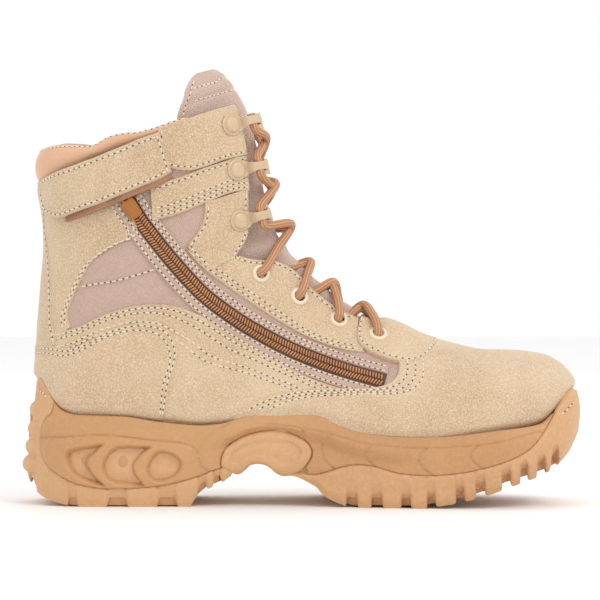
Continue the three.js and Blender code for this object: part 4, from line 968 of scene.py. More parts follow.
vampRear = [[118, 44.5], [120.5, 47.5], [122.5, 50], [126, 53.8], [132, 56.8], [140.5, 60], [152.5, 62.5],
            [165, 63.5], [177.5, 64], [189.5, 63.8], [200, 64.8], [206.5, 67.5], [210, 72], [210.5, 77]]
tabEdge = [[189.8, 102], [188.5, 96], [188.2, 90.5], [190.2, 86.6], [196.5, 82.5], [205, 79], [214, 77.2],
           [221, 78], [226.5, 81.2], [229.5, 85], [230.5, 88.2]]


# The vamp's rear edge goes on up under the eyelet tab to the ridge.
def vampEdges(side):
    onRidge = 60  # of the edge's points
    u, w = placeOf(smoothCurve(vampRear, edgePoints - onRidge), side)
    ridgeU = np.linspace(u[-1], throatEnd + 0.15, onRidge)
    ridgeW = np.linspace(w[-1], side, onRidge)
    rear = np.concatenate([u, ridgeU]), np.concatenate([w, ridgeW])
    return rear, (np.full(edgePoints, toeRow), rear[1])


# The eyelet tab: its outer edge comes to the ridge at its front, its inner one keeps to the throat.
def tabEdges(side):
    u, w = placeOf(smoothCurve(tabEdge, edgePoints), side)
    share = np.linspace(0, 1, edgePoints)
    w = w + (side - w) * ease(0.93, 1, share)
    ridgeU = np.interp(share, [0, 0.45, 1], [u[0], throatEnd, u[-1]])
    return (ridgeU, side * throatPlace(ridgeU, side)), (u, w)


# An edge that may not pass the throat's own edge.
def behindThroat(line, side):
    u, w = placeOf(smoothCurve(line, edgePoints), side)
    return u, side * np.minimum(np.abs(w), throatPlace(u, side) + 0.002)


panelLook = {
    "ankle": {"rounded": "b", "stitches": {"b": [2, 4.6]}, "puff": 0.3},
    "quarter": {"rounded": "a", "base": 0.25, "stitches": {"a": [2, 4.6, 9.5, 12]}},
    "counter": {"rounded": "a", "base": 1.0, "thick": 1.4, "radius": 0.8, "stitches": {"a": [2.2, 5]}},
    "backstay": {"rounded": "be", "base": 0.9, "thick": 1.0, "stitches": {"b": [1.9]}},
    "eyestay": {"rounded": "ab", "base": 0.1, "stitches": {"a": [2.2], "b": [2, 4.5]}},
    "anklefront": {"rounded": "ab", "base": 0.7, "thick": 1.1, "stitches": {"a": [2], "b": [2.2]}},
    "band": {"rounded": "abe", "base": 1.0, "thick": 1.2, "stitches": {"a": [2], "b": [2, 4.4, 6.8]}},
    "cuff": {"rounded": "abe", "base": 1.5, "thick": 1.2, "stitches": {"b": [2], "s": [2.2]}},
    "vamp": {"rounded": "a", "base": 0.9, "thick": 1.7, "radius": 0.9, "stitches": {"a": [2.6, 5.1, 7.6]}},
    "eyelettab": {"rounded": "b", "base": 1.7, "thick": 1.3, "stitches": {"b": [2.4]}},
}


# The two edges of each panel, from the lowest one to those laid over it.
def makePanels(side):
    stayU, stayW = placeOf(smoothCurve(backstayEdge, edgePoints), side)
    ankleRim = smoothCurve([[49, 189], [55, 178], [62, 166.5], [67, 157]] + windowRim, edgePoints)
    edges = {
        "ankle": (placeLine(0, 1.05, 6.6, side), placeOf(ankleRim, side)),
        "quarter": (quarterTop, quarterLow),
        "counter": (counterTop, counterLow),
        "backstay": ((stayU, 0 * stayW), (stayU, stayW)),
        "eyestay": (behindThroat(eyestayTop, side), eyestayLow),
        "anklefront": (placeOf(smoothCurve(frontBack, edgePoints), side), behindThroat(frontEdge, side)),
        "band": (behindThroat(bandTop, side), behindThroat(bandLow, side)),
        "cuff": (behindThroat(cuffTop, side), behindThroat(cuffLow, side)),
        "vamp": vampEdges(side),
        "eyelettab": tabEdges(side),
    }
    for name, (first, second) in edges.items():
        makePanel(name + sideWord(side), side, first, second, panelLook[name])


for side in (inner, outer):
    makePanels(side)
print("boot: panels ready")

# Sole: the outline by its turn from the heel's back (0) to the toe (180), and edges in the side view.
soleOutline = [[0, 0, 0], [12, 17, 17], [25, 31, 31], [40, 38.5, 38.5], [60, 39.5, 41], [80, 38, 43],
               [95, 42.5, 47], [110, 50, 52], [122, 53, 53], [134, 51.5, 48.5], [146, 45, 41.5],
               [158, 34.5, 31.5], [169, 19.5, 18.5], [180, 0, 0]]
soleLow = [[0, 17.5], [5, 12], [10, 8], [17, 4], [24, 2], [34, 0], [96, 0], [100, 5], [106, 9.5],
           [112, 11.8], [122, 17.5], [151, 17.2], [166, 11], [170, 6.5], [178, 2.4], [186, 0], [218, 0],
           [236, 2.4], [252, 6], [270, 12], [290, 19], [312, 30]]
# share of the wall's height, the outline's start and end in x, and how much it is drawn in
wallLean = [[0, 6, 300, 4], [0.12, 4, 306, 1.8], [0.35, 4.6, 311, 0], [0.7, 7.2, 312, 0.6],
            [1, 9, 310.5, 3]]
heelLine = [[24, 90], [21.5, 55], [17, 48], [14.3, 42], [13.8, 32], [17.5, 23.6], [24.5, 17.7], [35, 12.8],
            [49, 10.3], [66, 10.4], [82, 12], [98, 15.7], [115, 21.2], [122, 18]]
toeLine = [[150, 18], [158, 17.6], [167, 17.7], [180, 22], [190, 23.2], [199, 21.8], [209, 19], [220, 17.9],
           [232, 18.1], [246, 19.8], [256, 22], [267, 25.2], [277, 29.6], [283.5, 34.6], [288, 40.5],
           [292, 47], [296, 53], [302, 62], [308, 90]]
bridgeOutline = [[114.5, 21.4], [113.8, 25.5], [115.4, 30.6], [118.8, 34.2], [125.6, 38.2], [133.4, 40.6],
                 [142.7, 41.6], [151, 40.2], [158.3, 37], [162.4, 32.4], [162.8, 28.2], [160.6, 23.8],
                 [157, 19.6], [151, 16.9], [147, 16.6], [143.8, 18], [140.8, 20.6], [138.2, 22.3],
                 [134.4, 23.2], [129.6, 22.6], [127.2, 21], [125, 18.3], [121.5, 17.6]]
bridgeInset = [[118.5, 26], [121, 31], [129, 35], [141, 36.6], [152, 35.6], [157.5, 31], [156, 26],
               [150, 22.5], [146, 22.8], [140.5, 25.6], [134, 27], [127, 25.6], [122, 22.6]]
treadDepth = 5.2

heelCurve, toeCurve = smoothCurve(heelLine, 160), smoothCurve(toeLine, 200)
bridgeLoop = smoothCurve(bridgeOutline, 221, closed=True)[:-1]
heelRegion = np.vstack([heelCurve, [[122, -20], [-40, -20], [-40, 90]]])
toeRegion = np.vstack([toeCurve, [[340, 90], [340, -20], [150, -20]]])


# The boot's centre line bends inwards towards the toe.
def centreY(x):
    return -10 * ease(185, 330, x)


# A side view edge's z at x.
def heightOf(table, x):
    return atKey(table, x)[..., 0]


# The side wall at a turn and a share of its height, with its lower edge raised by bottom(x, y).
def soleWall(turn, share, bottom=None):
    turn, share = np.broadcast_arrays(np.asarray(turn, float), np.asarray(share, float))
    folded = np.minimum(turn, 360 - turn)
    back, front, inset = np.moveaxis(atKey(wallLean, share), -1, 0)
    x = back + (front - back) * (1 - np.cos(np.radians(folded))) / 2
    halves = atKey(soleOutline, folded)
    half = np.where(turn > 180, halves[..., 1], halves[..., 0])
    y = centreY(x) + np.where(turn > 180, 1, -1) * half * (1 - inset / 48)
    low, high = heightOf(soleLow, x), heightOf(soleTop, x)
    if bottom is not None:
        low = low + bottom(x, y)
    return np.stack([x, y, low + (high - low) * share], axis=-1)


# The wall's y at a place of the side view.
def wallY(x, z, side):
    low, high = heightOf(soleLow, x), heightOf(soleTop, x)
    back, front, inset = np.moveaxis(atKey(wallLean, np.clip((z - low) / (high - low), 0, 1)), -1, 0)
    turn = np.degrees(np.arccos(np.clip(1 - 2 * (x - back) / (front - back), -1, 1)))
    half = atKey(soleOutline, turn)[..., 0 if side < 0 else 1]
    return centreY(x) + side * half * (1 - inset / 48)


# How far a piece's wall is sunk behind its neighbour: nothing inside its own region, a groove at the line.
def sunk(depth):
    return 3.0 * (1 - ease(-1.0, 0.55, depth))


# Wall rows from inside the upper, over the lip, down to the lower edge. lift(points) pushes them out.
def wallRows(turns, shares, lift, bottom=None):
    wall = soleWall(turns[None, :], shares[:, None], bottom)
    down, along = np.gradient(wall, axis=0), np.gradient(wall, axis=1)
    normal = unit(np.cross(along, down))
    hub = np.stack([np.clip(wall[..., 0], 45, 262), centreY(wall[..., 0]), wall[..., 2]], axis=-1)
    normal *= np.sign(((wall - hub) * normal).sum(axis=-1, keepdims=True))
    amount = lift(wall)
    moved = wall + normal * amount[..., None]
    plan = unit(normal[0] * [1, 1, 0])
    drop = np.clip(-amount[0], 0, 3) * 0.9
    rim = moved[0] - plan * 0.9 + np.stack([0 * drop, 0 * drop, 0.45 - drop], axis=1)
    touch = wall[0] - plan * 3
    sides = np.where(np.asarray(turns) > 180, outer, inner)

    def onUpper(z, offset):
        place = np.stack([touch[:, 0], z], axis=1)
        both = {side: onSide(place, side, offset)[0] for side in (inner, outer)}
        return np.where(sides[:, None] < 0, both[inner], both[outer])

    top = wall[0, :, 2] - drop
    tip = ease(288, 297, wall[0, :, 0])[:, None]
    level = np.stack([0 * top, 0 * top, top], axis=1)
    tipLow = wall[0] * [1, 1, 0] - plan * 5 + level - [0, 0, 4.0]
    tipTop = wall[0] * [1, 1, 0] - plan * 3.2 + level + [0, 0, 0.1]
    lowest = onUpper(top - 4, -1.4) * (1 - tip) + tipLow * tip
    lip = onUpper(top + 0.2, 0.1) * (1 - tip) + tipTop * tip
    return np.concatenate([np.stack([lowest, lip, rim]), moved])


# Lines and hollows moulded into the midsole's sides, as places of the side view.
podLine = smoothCurve([[10, 36.6], [15.7, 37.2], [26.6, 37.7], [40.1, 38.9], [53.7, 38.8], [67.3, 37.4],
                       [75.4, 36.4], [86.3, 35.5], [92.8, 34.6], [98.2, 32.4], [101, 29.6], [101.4, 26.9],
                       [102.4, 23.1], [104.7, 20.6], [108.5, 18.4]], 120)
archLine = smoothCurve([[101.2, 30], [102.6, 33], [105.3, 36.6], [109.1, 40.4], [113.4, 42.6],
                        [119, 44.4]], 40)
lipLine = smoothCurve([[120, 42.5], [133, 44.4], [148.7, 43.8], [162.2, 41.5], [172, 39.6], [182.8, 36.4],
                       [197, 33.6], [213.8, 32.4], [234.4, 33], [260.4, 35.5], [286.5, 41.5]], 120)
scaleLines = [smoothCurve(line, 30) for line in (
    [[173.6, 39], [169.6, 35.4], [168.9, 30], [171.6, 23.8], [177.6, 20.2]],
    [[195.4, 33], [192.4, 29.8], [193.7, 26], [201, 19]],
    [[224.6, 32.4], [220.6, 27.6], [222.5, 22.6], [229, 17.4]],
    [[252.6, 34.4], [248.3, 30], [250.1, 25.4], [256.4, 21]])]
windows = [smoothCurve(loop, 80, closed=True)[:-1] for loop in (
    [[28.2, 27.4], [30.4, 30.8], [36, 32.6], [43, 33.6], [50.5, 34.8], [46.5, 30.4], [42.3, 25.6], [42.6, 21],
     [46.4, 16], [51.6, 10.8], [44, 12.6], [36.6, 15.6], [31.2, 20.2]],
    [[48.9, 22.6], [51, 28.4], [56, 32.6], [61, 33.6], [69, 33.4], [76.2, 33], [71, 28.4], [67, 23.4],
     [67.6, 18.4], [72.4, 11.2], [63, 11.8], [54.6, 13], [50, 17.4]],
    [[73.1, 20.9], [75.6, 27.4], [80.4, 30.9], [86.6, 30], [91.6, 26.4], [92.7, 22.4], [88.8, 16.4],
     [80.4, 13.4], [75, 15.6]])]
# middle (x, z), half sizes along x and z, and how proud each window's boss is
bosses = [[39.5, 25.6, 5.2, 5.6, 2.2], [60, 25, 5.4, 7, 2.4], [81.6, 22.8, 3.6, 4.4, 1.6]]


# -deep * exp(-(distance / wide)^2) along a line of the side view.
def groove(line, points, deep, wide):
    return -deep * np.exp(-((distanceTo(line, points[..., 0], points[..., 2]) / wide) ** 2))


# How far the midsole's wall stands out: behind the outsoles and the bridge it is sunk, the pod is proud,
# lines are grooved, windows are hollows with a domed boss, and the lip swells along the arch.
def midsoleLift(points):
    x, z = points[..., 0], points[..., 2]
    own = -np.maximum(depthInside(heelRegion, x, z), depthInside(toeRegion, x, z))
    lift = -sunk(own)
    lift = lift + groove(podLine, points, 0.75, 0.55) + groove(archLine, points, 0.6, 0.55)
    podSide = np.interp(x, podLine[:, 0][podLine[:, 0] < 98], podLine[:, 1][podLine[:, 0] < 98])
    lift = lift + 0.7 * ease(0.4, -1.6, z - podSide) * (1 - ease(94, 103, x))
    lip = np.interp(x, lipLine[:, 0], lipLine[:, 1])
    under = ease(0.4, -1.2, z - lip) * ease(160, 172, x)
    lift = lift + groove(lipLine, points, 0.7, 0.6) * ease(118, 150, x) - 0.5 * under
    for line in scaleLines:
        lift = lift + groove(line, points, 0.65, 0.5)
        side = np.interp(z, line[::-1, 1], line[::-1, 0])
        lift = lift + 0.45 * under * np.exp(-np.clip(x - side, 0, 60) / 9) * (x > side)
    for loop, (bx, bz, rx, rz, proud) in zip(windows, bosses):
        depth = depthInside(loop, x, z)
        boss = np.clip(1 - ((x - bx) / rx) ** 2 - ((z - bz) / rz) ** 2, 0, 1) ** 0.5
        lift = lift - (6.8 - (proud + 1.2) * boss) * ease(-0.3, 3.4, depth)
        lift = lift + 0.25 * np.exp(-((depth + 0.7) / 0.6) ** 2)
    bridge = depthInside(bridgeLoop, x, z)
    lift = lift - 2.2 * ease(-1.0, 0.6, bridge)
    heel = ease(1.4, -3.0, z - heightOf(soleTop, x)) * ease(50, 20, x)
    lip = ease(-15, -7, z - heightOf(soleTop, x)) * ease(100, 122, x) * (1 - ease(196, 236, x))
    lip = lip * ease(0.2, 3.4, -bridge)
    return lift + 0.5 * heel * ease(10, 24, x) + (3.5 + 1.5 * np.exp(-(((x - 170) / 15) ** 2))) * lip


# The midsole's lower edge stays above the bridge's arch.
def archRaise(x, y):
    return np.maximum(30 - heightOf(soleLow, x), 0) * ease(114, 119, x) * (1 - ease(156, 161, x))


# A closed loop of wall rows at each turn, from under the foot over the lip and down to the middle.
def makeMidsole():
    turns = np.linspace(0, 360, 901)[:-1]
    shares = np.linspace(1, 0, 74)
    rows = wallRows(turns, shares, midsoleLift, archRaise)
    wall = rows[3]
    x = wall[:, 0]
    footBottom = np.interp(x, lastTable[7:, 0], lastTable[7:, 1]) - 1.5
    inside = np.stack([np.clip(x, 16, 304), centreY(x), footBottom], axis=1)
    foot = rows[-1]
    edge = foot + (np.stack([foot[:, 0], centreY(foot[:, 0]), foot[:, 2]], axis=1) - foot) * 0.12
    under = np.stack([foot[:, 0], centreY(foot[:, 0]), foot[:, 2] + 1.0], axis=1)
    grid = np.concatenate([inside[None], rows, edge[None], under[None]])
    faces = gridFaces(*grid.shape[:2], closeColumns=True)
    piece = makePiece("midsoleCup", grid.reshape(-1, 3), faces, midsoleRubber, "midsole", weld=0.02, sharp=50)
    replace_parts(piece, "midsole")


# Tread gaps: x at the wall, how far they lean forward towards the middle, width.
heelGaps = [[9, 0, 3.4], [31.8, 3, 4.6], [55.9, 5, 14.2], [83.4, 4, 13.4], [104, -3, 4.2], [112, -2, 3]]
foreGaps = [[184.6, 5, 7], [198.3, 7, 7], [214.3, 7, 5.4], [227.9, 6, 4.3], [243.3, 6, 4], [254, 5, 5],
            [267.7, 4, 4.6], [277.2, 3, 3.3], [286.5, 2, 3.8], [294.5, 0, 3]]


# 1 in a gap and 0 on a lug, with sloping walls between.
def gapShare(x, y, gaps, innerReach):
    away = np.abs(y - centreY(x))
    share = np.zeros_like(x)
    for gx, skew, width in gaps:
        centre = gx + skew * (1 - away / 46)
        across = 1 - ease(0.28 * width, 0.3 * width + 2.0, np.abs(x - centre))
        reach = 1.0 if gx < 20 else ease(innerReach - 1, innerReach + 1, away)
        share = np.maximum(share, across * reach)
    return share


# How far the heel's tread is cut away: its side gaps and a channel that weaves along the middle.
def heelRelief(x, y):
    channel = np.interp(x, [30, 52, 76, 104], [0, 4, -4, 0])
    middleGap = (1 - ease(2.3, 3.5, np.abs(y - channel))) * ease(29, 31, x) * (1 - ease(103, 105, x))
    return treadDepth * np.maximum(gapShare(x, y, heelGaps, 9), middleGap)


# The forefoot's: its side gaps, a channel each side of the middle and chevrons between them.
def foreRelief(x, y):
    away = y - centreY(x)
    line = 15 * (1 - 0.45 * ease(240, 300, x))
    channel = (1 - ease(1.6, 2.6, np.abs(np.abs(away) - line))) * ease(175, 177, x) * (1 - ease(289, 291, x))
    chevron = np.zeros_like(x)
    for gx, _, width in foreGaps[1:-1]:
        chevron = np.maximum(chevron, 1 - ease(0.3 * width, 0.3 * width + 1.2,
                                               np.abs(x - gx - 7 + 0.5 * np.abs(away))))
    chevron = chevron * (1 - ease(line - 3, line - 2, np.abs(away)))
    return treadDepth * np.maximum.reduce([gapShare(x, y, foreGaps, 16), channel, chevron])


# Ribs up the back of the heel: height, how far each stands out, its radius.
heelRibs = [[52.4, 2.3, 4.9], [41.8, 2.1, 4.9], [31.7, 2.0, 4.9], [22, 2.9, 4.8]]


# Lugs stand out by 0.9 mm and gaps sink by 0.8 mm near the ground, nothing from 10 mm up.
def lugFaces(points, relief):
    x, y, z = np.moveaxis(points, -1, 0)
    gap = np.clip(relief(x, y) / treadDepth, 0, 1)
    height = z - heightOf(soleLow, x)
    fall = 1 - ease(3.5, 10, height)
    return (0.9 * (1 - gap) - 0.8 * gap) * fall


# The heel's wall: ribs sqrt(radius^2 - (z - rz)^2) up its back, and a groove at the back's edge.
def heelLift(points):
    x, z = points[..., 0], points[..., 2]
    lift = -sunk(depthInside(heelRegion, x, z))
    behind = 1 - ease(9.5, 12.5, x)
    for rz, proud, radius in heelRibs:
        rib = np.sqrt(np.clip(radius**2 - (z - rz) ** 2, 0, None)) - (radius - proud)
        lift = lift + np.clip(rib, 0, None) * behind
    lift = lift - 0.5 * behind * ease(16, 24, z)
    return lift + groove(smoothCurve([[12.4, 66], [12.2, 52], [11.2, 40], [10.6, 26]], 40), points, 0.5, 0.7)


# The forefoot's wall: lugs at the ground and a low bead along its upper line.
def toeLift(points):
    x, z = points[..., 0], points[..., 2]
    lift = -sunk(depthInside(toeRegion, x, z)) + lugFaces(points, foreRelief)
    edge = distanceTo(toeCurve, x, z)
    return lift + 0.35 * np.exp(-(((edge - 2.0) / 1.6) ** 2)) * (x > 160)


# An outsole: stations along its turn, each a loop down the inner wall, across the tread and up the outer
# wall.
def makeOutsole(name, node, turns, lift, relief):
    shares = np.linspace(1, 0, 64) ** 1.15
    medial = wallRows(turns, shares, lift, relief)
    lateral = wallRows(360 - turns, shares, lift, relief)
    across = np.linspace(0, 1, 92)[1:-1, None, None]
    under = medial[-1] * (1 - across) + lateral[-1] * across
    edge = np.minimum(across, 1 - across)[..., 0]
    low = heightOf(soleLow, under[..., 0]) + relief(under[..., 0], under[..., 1])
    under[..., 2] = low + (under[..., 2] - low) * ease(0.03, 0.0, edge)

    def deepInside(rows):
        foot = rows[-1]
        centre = np.stack([foot[:, 0], centreY(foot[:, 0]), foot[:, 2]], axis=1)
        away = np.linalg.norm(foot - centre, axis=1, keepdims=True)
        point = foot + (centre - foot) * np.clip(9 / np.maximum(away, 1e-6), 0, 0.9)
        return point + [[0, 0, 7.5]]

    loop = np.concatenate([deepInside(medial)[None], medial, under, lateral[::-1], deepInside(lateral)[None]])
    grid = loop.transpose(1, 0, 2)
    grid = cappedGrid(grid)
    faces = gridFaces(*grid.shape[:2], closeColumns=True)
    piece = makePiece(name, grid.reshape(-1, 3), faces, treadRubber, "outsole", weld=0.02, sharp=38)
    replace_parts(piece, node)


# The arch bridge: rings from the middle of each face out to the outline, then straight across the boot.
def makeBridge():
    centre = np.array([138.5, 31.0])
    scales = np.concatenate([[0.001], np.linspace(0.15, 0.6, 5), np.linspace(0.66, 1, 18)])
    rings = centre + (bridgeLoop[None] - centre) * scales[:, None, None]
    x, z = rings[..., 0], rings[..., 1]
    insetLoop = smoothCurve(bridgeInset, 90, closed=True)[:-1]
    depth = np.clip(depthInside(bridgeLoop, x, z), 0, None)
    dish = ease(-0.5, 1.5, depthInside(insetLoop, x, z))
    proud = 1.5 * quarterRound(depth / 2.2) - 0.9 - 1.1 * dish
    proud = proud + 0.25 * ease(1.5, 6, depthInside(insetLoop, x, z))
    sideFaces = {side: np.stack([x, wallY(x, z, side) + side * proud, z], axis=-1)
                 for side in (inner, outer)}
    share = np.linspace(0, 1, 14)[1:-1, None, None]
    barrel = sideFaces[inner][-1] * (1 - share) + sideFaces[outer][-1] * share
    grid = np.concatenate([sideFaces[inner], barrel, sideFaces[outer][::-1]])
    faces = gridFaces(*grid.shape[:2], closeColumns=True)
    piece = makePiece("archBridge", grid.reshape(-1, 3), faces, treadRubber, "outsole", weld=0.05, sharp=50)
    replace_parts(piece, "arch_bridge")


makeMidsole()
makeOutsole("heelOutsole", "outsole_heel", np.linspace(0, 76.6, 270), heelLift, heelRelief)
makeOutsole("forefootOutsole", "outsole_forefoot", np.linspace(180, 86.5, 330), toeLift, foreRelief)
makeBridge()
print("boot: sole ready")

# Side zip on the medial side: dark tape, two rows of coils and a piped seam each side.
zipPath = [[50.5, 190], [55, 180], [62, 168.5], [69, 157.5], [76, 148], [85, 136.5], [95.4, 124.5],
           [106, 113.8], [121.3, 102.3], [137, 92.8], [152.5, 84.8], [168.2, 78.4], [183.8, 73.2],
           [203, 67.8]]
zipRun = {"pitch": 1.6, "coilWide": 3.3, "coilHigh": 0.68, "rowOffset": 1.7, "tapeHalf": 4.3,
          "seams": {"Upper": (4.2, 8.8), "Lower": (-4.2, -9.8)}}
zipLine = smoothCurve(zipPath, 500)


# The zip's line moved sideways in the side view, towards the toe when positive.
def besideZip(offset, start=0.0):
    way = unit(np.gradient(zipLine, axis=0))
    line = zipLine + offset * np.stack([-way[:, 1], way[:, 0]], axis=1)
    return line[int(start * len(line)):]


# Small rounded bars: half length along, half width and height across, all in one piece.
def makeBars(name, centre, along, up, half, wide, high, material, slot, body="boot"):
    side = np.cross(along, up)
    s = np.array([-1.0, -0.82, 0, 0.82, 1.0])[None, :, None, None]
    scale = np.array([0.35, 0.85, 1, 0.85, 0.35])[None, :, None, None]
    angle = np.linspace(0, 2 * np.pi, 6, endpoint=False)[None, None, :, None]
    c, a, u, d = (value[:, None, None, :] for value in (centre, along, up, side))
    points = c + a * s * half + d * wide * scale * np.cos(angle) + u * high * scale * np.sin(angle)
    caps = np.array([[0, 1, 2, 3], [0, 3, 4, 5], [27, 26, 25, 24], [29, 28, 27, 24]])
    each = np.vstack([gridFaces(5, 6, closeColumns=True), caps])
    faces = repeatFaces(each, len(centre), 30)
    return makePiece(name, points.reshape(-1, 3), faces, material, slot, body=body, weld=0.0001, sharp=60)


# Tape, then two rows of bars on it, slanted against each other, then the seams beside it.
def makeZip():
    first, second = besideZip(zipRun["tapeHalf"]), besideZip(-zipRun["tapeHalf"])
    tape = makePanel("zipTape", inner, first, second,
                     {"rounded": "", "base": 0.35, "thick": 0.3, "batch": "Zip"}, zipTape, "zip")
    length = np.linalg.norm(np.diff(zipLine, axis=0), axis=1).sum()
    at = (np.arange(2, int(length / zipRun["pitch"])) + 0.5) / (length / zipRun["pitch"])
    centres, alongs, ups = [], [], []
    for row, offset in enumerate((zipRun["rowOffset"], -zipRun["rowOffset"])):
        line = besideZip(offset)
        place = pickAt(at + row * 0.4 / length, np.linspace(0, 1, 500), line)
        point, normal = onSide(place, inner, 1.25)
        way = unit(np.gradient(point, axis=0))
        across = np.cross(normal, way)
        slant = unit(across + way * (0.28 if row else -0.28))
        centres.append(point)
        alongs.append(slant)
        ups.append(normal)
    coils = makeBars("zipCoils", np.concatenate(centres), np.concatenate(alongs), np.concatenate(ups),
                     zipRun["coilWide"] / 2, 0.56, zipRun["coilHigh"], zipPlastic, "zip")
    for piece in (tape, coils):
        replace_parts(piece, "zip_chain")
    for word, (near, far) in zipRun["seams"].items():
        makePanel("zipSeam" + word, inner, besideZip(near, 0.08), besideZip(far, 0.08),
                  {"rounded": "ab", "base": 0.5, "thick": 1.0, "stitches": {"a": [1.1], "b": [1.3]},
                   "pitch": 3.1, "trim": 1.0}, nylon, "nylon")


# Frame of the slider: x across, y up the zip, z out of the boot.
def zipFrame():
    points, outs = onLast(*placeOf(alongTable(zipPath, np.array([1.7, 1.65])), inner))
    point, above, out = points[0], points[1], outs[0]
    up = above - point
    up = unit(up - out * (up @ out))
    return point, np.cross(up, out), up, out


sliderPoint, sliderAcross, sliderUp, sliderOut = zipFrame()


# Points given in the slider's frame.
def onSlider(points):
    points = np.asarray(points, float)
    return (sliderPoint + points[..., :1] * sliderAcross + points[..., 1:2] * sliderUp
            + points[..., 2:] * sliderOut)


# A plate from a round-cornered outline: rings at (scale, z) from its middle, closed at both faces.
def plateGrid(outline, levels):
    outline = np.asarray(outline, float)
    hub = outline.mean(axis=0)
    return np.stack([np.concatenate([hub + (outline - hub) * s, np.full((len(outline), 1), z)], axis=1)
                     for s, z in levels])


# A box section: four quarter circles of the corner's radius round (width, height).
def roundedBox(width, height, corner, count=8):
    turn = np.linspace(0, np.pi / 2, count)
    arc = np.stack([np.cos(turn), np.sin(turn)], axis=1) * corner
    corners = []
    for k, (sx, sy) in enumerate(((1, 1), (-1, 1), (-1, -1), (1, -1))):
        part = arc if k in (0, 2) else arc[::-1]
        corners.append(part * [sx, sy] + [sx * (width / 2 - corner), sy * (height / 2 - corner)])
    return np.concatenate(corners)


# Several closed grids in one piece.
def makeGrids(name, grids, material, slot, body="boot", closeRows=False, sharp=40):
    points, faces, start = [], [], 0
    for grid in grids:
        points.append(grid.reshape(-1, 3))
        faces.append(gridFaces(*grid.shape[:2], closeRows=closeRows, closeColumns=True) + start)
        start += grid.shape[0] * grid.shape[1]
    return makePiece(name, np.concatenate(points), np.vstack(faces), material, slot, body=body, sharp=sharp)


pullLook = {"width": 8.0, "top": -6.0, "bottom": -17.0, "thick": 1.2, "corner": 2.1, "dish": 0.22,
            "lift": 4.0, "axle": -0.6}


# A plate with a bridge over it; the pull is a dished tab, an axle under the bridge and two arms.
def makeSlider():
    outline = smoothCurve([[-3.6, -5], [0, -5.2], [3.6, -5], [5, 0.5], [3.4, 5.2], [0, 5.4], [-3.4, 5.2],
                           [-5, 0.5]], 41, closed=True)[:-1]
    plate = plateGrid(outline, [(0, 2.2), (0.9, 2.2), (1, 2.45), (1, 3.0), (0.93, 3.18), (0.85, 3.2),
                                (0, 3.2)])
    path = smoothCurve([[0, -4.2, 2.8], [0, -4.2, 4.4], [0, -3.3, 5.4], [0, -0.4, 5.6], [0, 2.6, 5.4],
                        [0, 3.4, 4.4], [0, 3.4, 2.8]], 30)
    up = np.cross(unit(np.gradient(path, axis=0)), [1.0, 0, 0])
    bridge = cappedGrid(sweepGrid(path, up, roundedBox(1.7, 0.75, 0.3, 4)))
    slider = makeGrids("zipSlider", [onSlider(plate), onSlider(bridge)], amberCoat, "zip")
    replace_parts(slider, "zip_slider")

    lift, down = pullLook["lift"], pullLook["axle"]
    top, bottom = pullLook["top"], pullLook["bottom"]
    box = roundedBox(pullLook["width"], top - bottom, pullLook["corner"]) + [0, (top + bottom) / 2]
    half, dish = pullLook["thick"] / 2, pullLook["dish"]
    levels = [(0, lift - half), (0.93, lift - half), (1, lift - half + 0.25), (1, lift + half - 0.25),
              (0.95, lift + half), (0.84, lift + half), (0.8, lift + half - dish), (0, lift + half - dish)]
    tab = plateGrid(box, levels)
    axle = np.stack([np.linspace(-2.6, 2.6, 8), np.full(8, down), np.full(8, lift)], axis=1)
    grids = [tab, cappedGrid(sweepGrid(axle, [0, 0, 1.0], ringOf(12, 0.62)))]
    for sign in (-1, 1):
        reach = np.linspace(down + 0.25, down - 6.2, 8)
        arm = np.stack([np.full(8, sign * 1.9), reach, np.full(8, lift)], axis=1)
        grids.append(cappedGrid(sweepGrid(arm, [0, 0, 1.0], roundedBox(1.35, 1.15, 0.35, 4))))
    pull = makeGrids("zipPull", [onSlider(grid) for grid in grids], amberCoat, "pull", body="pull_tab")
    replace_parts(pull, "zip_pull")


makeZip()
makeSlider()
print("boot: zip ready")

# Ankle strap: stands off over the zip's top and lies down at both ends.
strapTop = [[15, 178.5], [19, 180.5], [38, 186.5], [57, 194], [72, 200.5], [80, 203.9]]
strapLow = [[15.5, 175], [17.5, 167.5], [20.5, 162], [25, 159], [29.5, 158.4], [37, 161], [52, 166.3],
            [59.5, 169.5], [70, 174], [79.5, 178], [87, 182.3]]
strapStand = [[0, 1.4], [0.08, 2.4], [0.25, 5.8], [0.33, 6.1], [0.41, 7.3], [0.5, 6.2], [0.6, 7.2],
              [0.72, 6.4], [0.82, 6.2], [0.93, 3.6], [1, 2.2]]
strapBacking = grainyMaterial("strapBacking", dict(
    collarLook, main=(168, 122, 92), dark=(140, 96, 70), light=(190, 146, 114), roughness=0.6))


# A thick panel that stands off by strapStand along its way, and a smooth backing below its lower edge.
def makeStrap():
    backing = [[x + 0.2, z - 3.2] for x, z in strapLow[3:]]
    inside = [[x, z + 8] for x, z in strapLow[3:]]
    makePanel("strapBacking", inner, inside, backing,
              {"rounded": "b", "base": -1.6, "thick": 1.0, "stand": strapStand, "free": 1.6,
               "batch": "Strap"}, strapBacking, "suede")
    strap = makePanel("ankleStrap", inner, strapTop, strapLow,
                      {"rounded": "abse", "base": 0.0, "thick": 2.2, "stand": strapStand, "free": 0.2,
                       "stitches": {"a": [2.2], "b": [2.2], "e": [2.2]}, "batch": "Strap", "trim": 2.5})
    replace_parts(strap, "ankle_strap")


